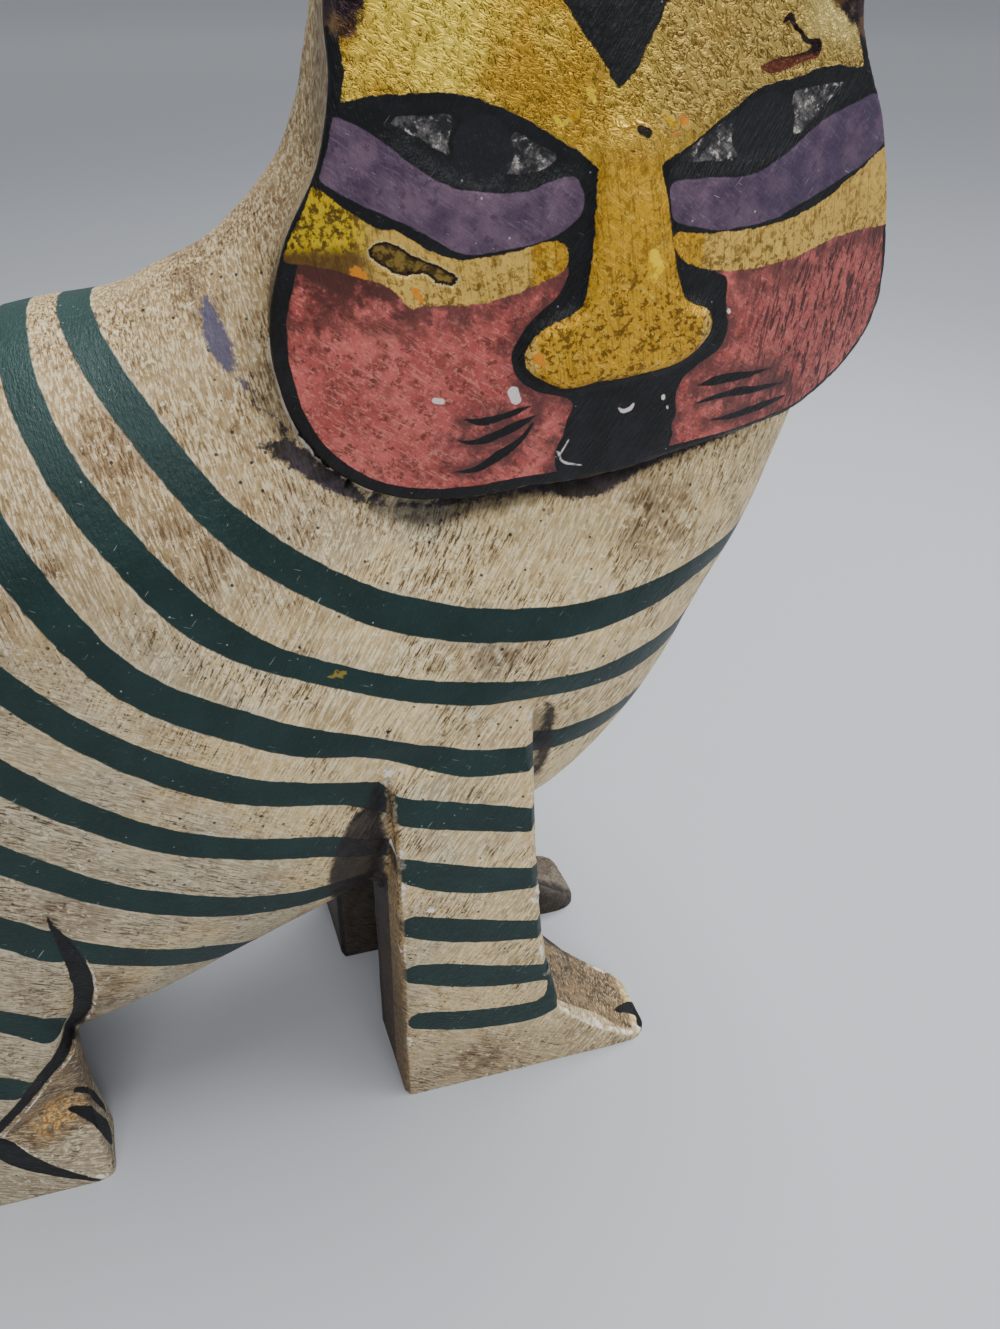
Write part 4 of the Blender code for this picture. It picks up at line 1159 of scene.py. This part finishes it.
def gilt_feet(f, colour):
    """Brown wear on the insteps and the hind shins, dark grey on the far side as painted shade, and
    old gilt on the shin and the toe tips.
    """
    brown = f.coats(
        f.mix(f.ease(f.grain, 0.40, 0.60), (124, 99, 70), (58, 44, 32)),
        # Painted shade: the far side's brown turns dark grey and loses its light strokes.
        (f.times(f.far, 0.8), (62, 56, 56)),
        (f.times(f.ease(f.brushed, 0.53, 0.60, 0.0, 0.8), f.ease(f.far, 0, 1, 1, 0.2)),
         (188, 168, 134)),
    )
    shin = f.times(f.edge("shin", f.ragged, 0.0008), f.ease(f.plus(f.z, f.ragged), 0.016, 0.022))
    return f.coats(
        colour,
        (f.times(f.edge("instep", f.times(f.ragged, 0.3), 0.0003), 0.90), brown),
        (f.times(shin, 0.80), brown),
        (f.times(shin, f.stain(*GILT_STAIN), f.ease(f.fleck, 0.42, 0.56), 0.85),
         f.mix(f.ease(f.fine, 0.4, 0.6), (150, 96, 40), (224, 186, 110))),
        (f.times(f.edge("toe_tip", f.ragged, 0.0010), 0.85),
         f.mix(f.ease(f.fleck, 0.4, 0.6), (196, 166, 92), (240, 226, 178))),
    )


def green_stripes(f, colour):
    """Dark green, thin in places, with hairs and lint in it, a painted sheen higher up and a pale halo
    round it.
    """
    halo = f.times(f.edge("stripe", f.wobble, 0.0003, -0.0006), f.ease(f.grain, 0.44, 0.58), 0.45)
    green = f.coats(
        f.mix(f.ease(f.noise(0.012, 4), 0.35, 0.70), (13, 38, 36), (20, 48, 45)),
        # A painted sheen, lighter towards the ridge.
        (f.times(f.ease(f.z, 0.176, 0.226), 0.22), (70, 104, 100)),
        (f.times(f.ease(f.fine, 0.60, 0.74), 0.25), (50, 78, 74)),
        (f.most(f.times(f.hairs, 0.60), f.times(f.lint, 0.75)), (170, 184, 178)),
    )
    return f.coats(colour, (halo, (210, 194, 164)), (f.stripe, green))


def bare_edges(f, colour):
    """Pale bare wood along the arrises and ridges."""
    worn = f.ease(f.scaled(f.noise(0.0016, 4, 0.7), 0.36, f.mark("arris")), 0.385, 0.42)
    bare = f.mix(f.ease(f.fleck, 0.40, 0.60), (186, 164, 128), (246, 240, 224))
    return f.coats(
        colour,
        (f.times(worn, f.ease(f.stripe, 0.7, 0.2, 0.25, 0.90)), bare),
        (f.times(f.edge("ridge", f.times(f.ragged, 0.3)), f.ease(f.far, 0, 1, 0.9, 0.1)), bare),
    )


def painted_shade_and_dirt(f, colour):
    """Painted shade with dirt in the crevices, and painted shade in the slot, by the front legs and up
    their backs.
    """
    # Near-black, for painted shade, with dirt in the crevices.
    shade_and_dirt = f.mix(f.ease(f.grain, 0.40, 0.62), (14, 10, 15), (40, 30, 30))
    crevice_shade = f.ease(f.scaled(f.noise(0.006, 4, 0.65), 0.45, f.mark("crevice")), 0.45, 0.95)
    # Painted shade up the back of the front leg, with a tan strip along its outer edge, darker towards
    # the floor.
    tan_strip = f.math("SUBTRACT", f.plus(f.times(f.y, -1), f.times(f.ragged, 0.6)),
                   f.ease(f.z, 0.096, 0.106, 0.0275, 0.0335))
    heel = f.times(f.edge("heel", f.times(f.ragged, 60), 0.12),
                   f.ease(f.mark("stripe"), 0.001, -0.001, 0.35, 0.95))
    heel_shade = f.coats(
        shade_and_dirt,
        (f.ease(tan_strip, 0.0, 0.0012),
         f.mix(f.ease(f.brushed, 0.4, 0.6), (90, 68, 44), (196, 164, 112))),
        (f.ease(f.z, 0.080, 0.030, 0.0, 0.6), (72, 54, 38)),
    )
    return f.coats(
        colour,
        # Darker in the crevices, more so lower down: painted shade with dirt.
        (f.times(crevice_shade, f.ease(f.z, 0.215, 0.170, 0.25, 0.95)), shade_and_dirt),
        (heel, heel_shade),
        # Painted shade in the slot between the legs.
        (f.times(f.edge("inner", f.smoky, 0.002), 0.92), shade_and_dirt),
        # Painted shade behind the front legs' tops and in the chest crease in front of them.
        (f.times(f.edge("armpit", f.times(f.ragged, 0.8), 0.0008, 0.0004), 0.95), shade_and_dirt),
    )


def jaw_rim(f, colour):
    """A pale rim under the left jaw, painted shadow along the throat under the chin, and a purple
    smudge on its left.
    """
    rim = f.plus(f.mark("rim"), f.wobble)
    lit = f.times(f.ease(rim, 0.0, 0.0008), f.ease(f.across, -0.004, -0.014), 0.85)
    shadow_and_smudge = f.times(f.edge("throat", f.times(f.ragged, 0.9), 0.0004),
                     f.ease(rim, 0.0010, 0.0002, 0.10, 1.0), 0.95)
    # Near-black painted shadow low on the throat, and the purple smudge's own colour above it.
    shadow_and_purple_smudge = f.mix(f.ease(f.grain, 0.42, 0.62), (18, 14, 20), (46, 38, 52))
    shadow_and_purple_smudge = f.mix(f.times(f.ease(f.z, 0.204, 0.208), 0.8), shadow_and_purple_smudge, (84, 80, 106))
    return f.coats(colour, (lit, f.mix(f.fleck, (196, 188, 174), (232, 226, 214))),
                   (shadow_and_smudge, shadow_and_purple_smudge))


def black_paint(f):
    black = f.mix(f.ease(f.noise(0.005, 4), 0.4, 0.7), (9, 9, 11), (21, 22, 26))
    return f.mix(f.most(f.times(f.lint, 0.6), f.times(f.hairs, 0.35)), black, (140, 142, 146))


def drawn_lines(f, colour, black):
    """The black lines and toes, a yellow smear and the chips on the side."""
    drawn = f.most(*[f.edge(name, f.wobble) for name in ("black_line", "toe_black", "toe_wedge")])
    return f.coats(
        colour,
        (drawn, black),
        (f.times(f.edge("smear", f.ragged), 0.8), (150, 128, 40)),
        (f.edge("side_chip", f.wobble), (240, 236, 224)),
    )


def pink_cheeks(f):
    """Pink rubbed through to brown, combed dark on the right and sooty under the gold."""
    right_side = f.ease(f.across, 0.016, 0.034)
    combed = f.strokes(-86, 0.0050, 0.00085, 4, 0.65, 1.1)
    under_gold = f.ease(f.scaled(f.smoky, 0.8, f.mark("gold")), -0.0065, -0.0005)
    by_muzzle = f.ease(f.plus(f.mark("muzzle"), f.smoky), -0.0042, 0.0002, 0, 0.85)
    soot = f.most(f.times(under_gold, 0.75), by_muzzle)
    far_left = f.times(f.ease(f.plus(f.across, f.smoky), -0.026, -0.042),
                       f.ease(f.up, -0.016, 0.000))
    return f.coats(
        f.mix(f.ease(f.blotch, 0.38, 0.62), (206, 104, 96), (172, 78, 72)),
        (f.times(f.ease(f.grain, 0.48, 0.60), 0.60), (124, 60, 52)),
        (f.times(f.ease(f.noise(0.0018, 4, 0.7), 0.54, 0.62), 0.70), (84, 38, 32)),
        (f.times(f.ease(f.fine, 0.56, 0.64), 0.45), (228, 146, 130)),
        (f.times(f.ease(f.falling, 0.55, 0.62), 0.45), (228, 148, 132)),
        (f.times(right_side, 0.35), (124, 70, 68)),
        (f.times(f.ease(combed, 0.51, 0.57), right_side, 0.90), (46, 26, 28)),
        (f.times(soot, f.ease(f.grain, 0.34, 0.52)), (84, 48, 46)),
        (f.times(far_left, f.ease(f.grain, 0.38, 0.54), 0.9), (74, 38, 32)),
    )


def violet_lids(f):
    return f.coats(
        f.mix(f.ease(f.noise(0.005, 4), 0.35, 0.7), (74, 56, 78), (112, 88, 106)),
        (f.times(f.ease(f.falling, 0.54, 0.62), 0.22), (142, 124, 144)),
        (f.times(f.ease(f.fleck, 0.56, 0.68), 0.45), (46, 36, 54)),
        (f.times(f.ease(f.across, 0.010, 0.030), 0.35), (50, 42, 70)),
        (f.most(f.times(f.lint, 0.8), f.times(f.hairs, 0.5)), (196, 188, 196)),
    )


def eye_white(f):
    return f.coats(
        f.mix(f.ease(f.noise(0.0026, 5, 0.7), 0.42, 0.60), (32, 32, 35), (104, 100, 98)),
        (f.times(f.ease(f.noise(0.0013, 4, 0.7), 0.56, 0.64), 0.8), (196, 188, 180)),
        (f.times(f.ease(f.falling, 0.46, 0.40), 0.6), (24, 24, 28)),
    )


def ochre_paint(f):
    """Ochre, stronger on the nose and pitted low on it."""
    on_nose = f.times(f.ease(f.math("ABSOLUTE", f.across), 0.0150, 0.0142),
                      f.ease(f.up, 0.020, 0.008))
    pitted = f.ease(f.scaled(f.grain, 0.35, f.noise(0.0010, 4, 0.7)), 0.685, 0.76)
    low_nose = f.ease(f.plus(f.up, f.smoky), 0.004, -0.006, 0.45, 0.85)
    return f.coats(
        f.mix(f.ease(f.noise(0.006, 4), 0.35, 0.7), (218, 172, 50), (186, 138, 30)),
        (f.times(f.ease(f.up, 0.014, 0.010), 0.9), f.mix(f.blotch, (240, 200, 108), (212, 170, 80))),
        (f.times(on_nose, 0.9), f.mix(f.blotch, (228, 174, 24), (188, 134, 12))),
        (f.times(f.ease(f.falling, 0.53, 0.61), 0.40), (255, 218, 96)),
        (f.times(f.ease(f.upright, 0.45, 0.39), 0.45), (104, 74, 16)),
        (f.times(f.ease(f.fleck, 0.57, 0.66), 0.55), (124, 88, 24)),
        (f.times(pitted, low_nose), (92, 60, 10)),
    )


def gold_leaf(f):
    """Creased leaf: the left side's, with a painted highlight, and the whole forehead's, with a
    painted highlight in its right corner too.
    """
    # A painted highlight on the left of the forehead, stronger towards the top.
    lit = f.scaled(f.math("ABSOLUTE", f.plus(f.across, 0.026)), -1.3, f.scaled(f.smoky, 0.8, f.up))
    bright = f.mix(f.ease(f.noise(0.014, 3), 0.42, 0.60), (194, 150, 44), (230, 194, 72))
    bright = f.mix(f.ease(lit, 0.016, 0.038), bright, (252, 224, 86))
    left = f.mix(f.ease(f.crease, 0.00, 0.08), (88, 64, 18), bright)
    right = f.mix(f.ease(f.crease, 0.01, 0.12), (100, 76, 32), (212, 180, 96))
    # A painted highlight in the right corner.
    corner_highlight = f.times(f.ease(f.across, 0.028, 0.036), f.ease(f.plus(f.up, f.smoky), 0.024, 0.030))
    right = f.mix(f.times(corner_highlight, 0.8), right, (236, 214, 134))
    whole = f.mix(f.ease(f.plus(f.across, f.smoky), -0.008, 0.012), left, right)
    return left, f.mix(f.times(f.ease(f.blotch, 0.50, 0.66), 0.25), whole, (176, 132, 44))


def gold_paint(f, leaf):
    """Leaf over ochre, crumbling by the left eye, with dabs, a peeled patch and a crack."""
    crumble = f.mix(f.ease(f.noise(0.0011, 4, 0.7), 0.42, 0.56), (74, 54, 16), (226, 190, 24))
    crumble = f.mix(f.times(f.ease(f.up, 0.0065, 0.004), f.ease(f.grain, 0.34, 0.50)),
                    crumble, (92, 64, 30))
    peel_edge = f.times(f.ragged, 0.4)
    return f.coats(
        ochre_paint(f),
        (f.forehead, leaf),
        (f.times(f.ease(f.across, -0.037, -0.042, 0.0, 0.9), f.ease(f.up, 0.020, 0.016)), crumble),
        (f.edge("yellow_dab", f.times(f.ragged, 0.8)),
         f.mix(f.ease(f.grain, 0.44, 0.60), (255, 214, 0), (196, 140, 0))),
        (f.times(f.edge("orange_dab", f.ragged), 0.9), (226, 136, 8)),
        (f.times(f.edge("peel", peel_edge, 0.0002, -0.0002), 0.6), (240, 222, 160)),
        (f.edge("peel", peel_edge), (34, 22, 14)),
        (f.edge("peel", f.times(f.ragged, 0.5), 0.0002, 0.0005),
         f.mix(f.ease(f.fleck, 0.42, 0.58), (72, 54, 24), (138, 114, 52))),
        (f.edge("crack", f.times(f.ragged, 0.25)),
         f.mix(f.ease(f.up, 0.0262, 0.0252), (38, 24, 24), (112, 62, 46))),
        (f.edge("face_dot", f.wobble), (34, 30, 26)),
    )


def painted_wood():
    """Cream brushed dry over dark brown, with the painted stripes and face above it."""
    f = CatPaint()
    colour = cream_coat(f)
    for coat in (gilt_feet, green_stripes, bare_edges, painted_shade_and_dirt, jaw_rim):
        colour = coat(f, colour)
    black = black_paint(f)
    colour = drawn_lines(f, colour, black)
    left_leaf, leaf = gold_leaf(f)
    hollow = f.mix(f.ease(f.grain, 0.4, 0.6), (44, 32, 36), (104, 78, 50))
    on_gold = f.edge("gold", f.scaled(f.ragged, 0.3, f.wobble))
    in_hollow = f.edge("ear_hollow", f.ragged, 0.0006)
    face = f.coats(
        black,
        (f.edge("cheek", f.wobble), pink_cheeks(f)),
        (f.edge("muzzle", f.wobble), black),
        (f.edge("purple", f.wobble), violet_lids(f)),
        (f.edge("eye_white", f.wobble), eye_white(f)),
        (f.times(f.edge("iris", f.wobble), 0.9), (24, 26, 30)),
        (on_gold, gold_paint(f, leaf)),
        (in_hollow, hollow),
        (f.edge("face_chip", f.wobble), (236, 222, 216)),
    )
    on_plate = f.edge("plate", f.times(f.ragged, 0.15))
    on_ear = f.times(f.edge("ear_front", f.ragged), f.ease(f.up, 0.044, 0.046))
    # The ear fronts take the left side's leaf, its painted highlight too.
    colour = f.coats(colour, (on_plate, face), (on_ear, f.mix(in_hollow, left_leaf, hollow)))

    gilt = f.times(f.most(on_plate, on_ear), f.most(on_gold, on_ear))
    dabs = f.ease(f.most(f.mark("yellow_dab"), f.mark("orange_dab")), -0.0006, 0.0, 1.0, 0.0)
    on_wood = f.blend(f.stripe, f.blend(f.ease(f.brushed, 0.3, 0.7), 0.58, 0.42), 0.40)
    rough = f.blend(on_plate, on_wood, f.blend(on_gold, 0.36, 0.33))
    relief = f.scaled(f.grain, 0.6, f.scaled(f.brushed, 0.55, f.times(f.fleck, 0.40)))
    relief = f.blend(f.times(gilt, f.forehead), relief, f.times(f.crease, 2.4))
    relief = f.plus(relief, f.times(f.stripe, 0.30))
    bump = f.feed(f.node("ShaderNodeBump"),
                  (("Strength", 0.8), ("Distance", 0.0007), ("Height", relief)))
    f.feed(f.shader, (
        ("Base Color", colour), ("Roughness", f.scaled(f.fleck, 0.12, rough)),
        ("Metallic", f.times(gilt, dabs, f.blend(f.forehead, 0.45, 0.75))),
        ("Specular IOR Level", 0.3), ("Normal", bump),
    ))
    return f.material


def grey_paper():
    """A soft painted shadow tone in a ring round the cat, and painted light paler far away."""
    f = Finish("grey_paper")
    away = f.distance((0, 0, 0))
    tone = f.coats(
        f.mix(f.noise(0.9, 2), (178, 181, 187), (186, 189, 195)),
        (f.ease(away, 0.40, 0.90), (155, 158, 164)),
        (f.ease(away, 1.15, 3.20), (213, 216, 221)),
    )
    f.feed(f.shader, (("Base Color", tone), ("Roughness", 0.9)))
    return f.material


def studio_floor():
    """A wide square of grey paper."""
    mesh = bpy.data.meshes.new("studio_floor")
    corners = [(x * FLOOR / 2, y * FLOOR / 2, 0) for x, y in ((-1, -1), (1, -1), (1, 1), (-1, 1))]
    mesh.from_pydata(corners, [], [(0, 1, 2, 3)])
    mesh.materials.append(grey_paper())
    floor = bpy.data.objects.new("studio_floor", mesh)
    bpy.context.scene.collection.objects.link(floor)
    return floor


def studio_light(name, place, aim, size, power):
    """A soft rectangular lamp at a place, turned to its aim."""
    data = bpy.data.lights.new(name, "AREA")
    data.shape = "RECTANGLE"
    data.size, data.size_y = size
    data.energy = power
    lamp = bpy.data.objects.new(name, data)
    bpy.context.scene.collection.objects.link(lamp)
    back = np.subtract(place, aim) / np.linalg.norm(np.subtract(place, aim))
    right = np.cross((0, 0, 1), back)
    right /= np.linalg.norm(right)
    turn = np.eye(4)
    turn[:3, :] = np.stack([right, np.cross(back, right), back, place], axis=1)
    lamp.matrix_world = Matrix(turn.tolist())


# The cat
shift = np.array(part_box("cat")[0]) - (CARVED_LOW_X, CARVED_LOW_Y, SOLE_Z)
cat = carved_cat(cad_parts["cat"], shift, painted_wood())
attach(cat, "root")
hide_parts("cat")

# The studio
studio_floor()
studio_light("overhead_soft_light", place=(0.50, 0.08, 1.55), aim=(0.05, 0, 0.1), size=(1.1, 0.9),
             power=35)
studio_light("front_fill", place=(0.0, -1.5, 1.4), aim=(0, 0, 0.12), size=(1.5, 0.9), power=18)
world = bpy.data.worlds.new("studio")
world.use_nodes = True
world.node_tree.nodes["Background"].inputs["Color"].default_value = shade(205, 208, 212)
world.node_tree.nodes["Background"].inputs["Strength"].default_value = 0.55
bpy.context.scene.world = world

# The camera
camera_data = bpy.data.cameras.new("camera")
camera_data.sensor_fit = "VERTICAL"
camera_data.sensor_height = SENSOR
camera_data.lens = LENS
camera_data.clip_start = NEAREST
camera = bpy.data.objects.new("camera", camera_data)
bpy.context.scene.collection.objects.link(camera)
camera.location = shift + CAMERA_PLACE
camera.rotation_euler = np.radians((90 - CAMERA_ELEVATION, 0, CAMERA_AZIMUTH))
bpy.context.scene.camera = camera
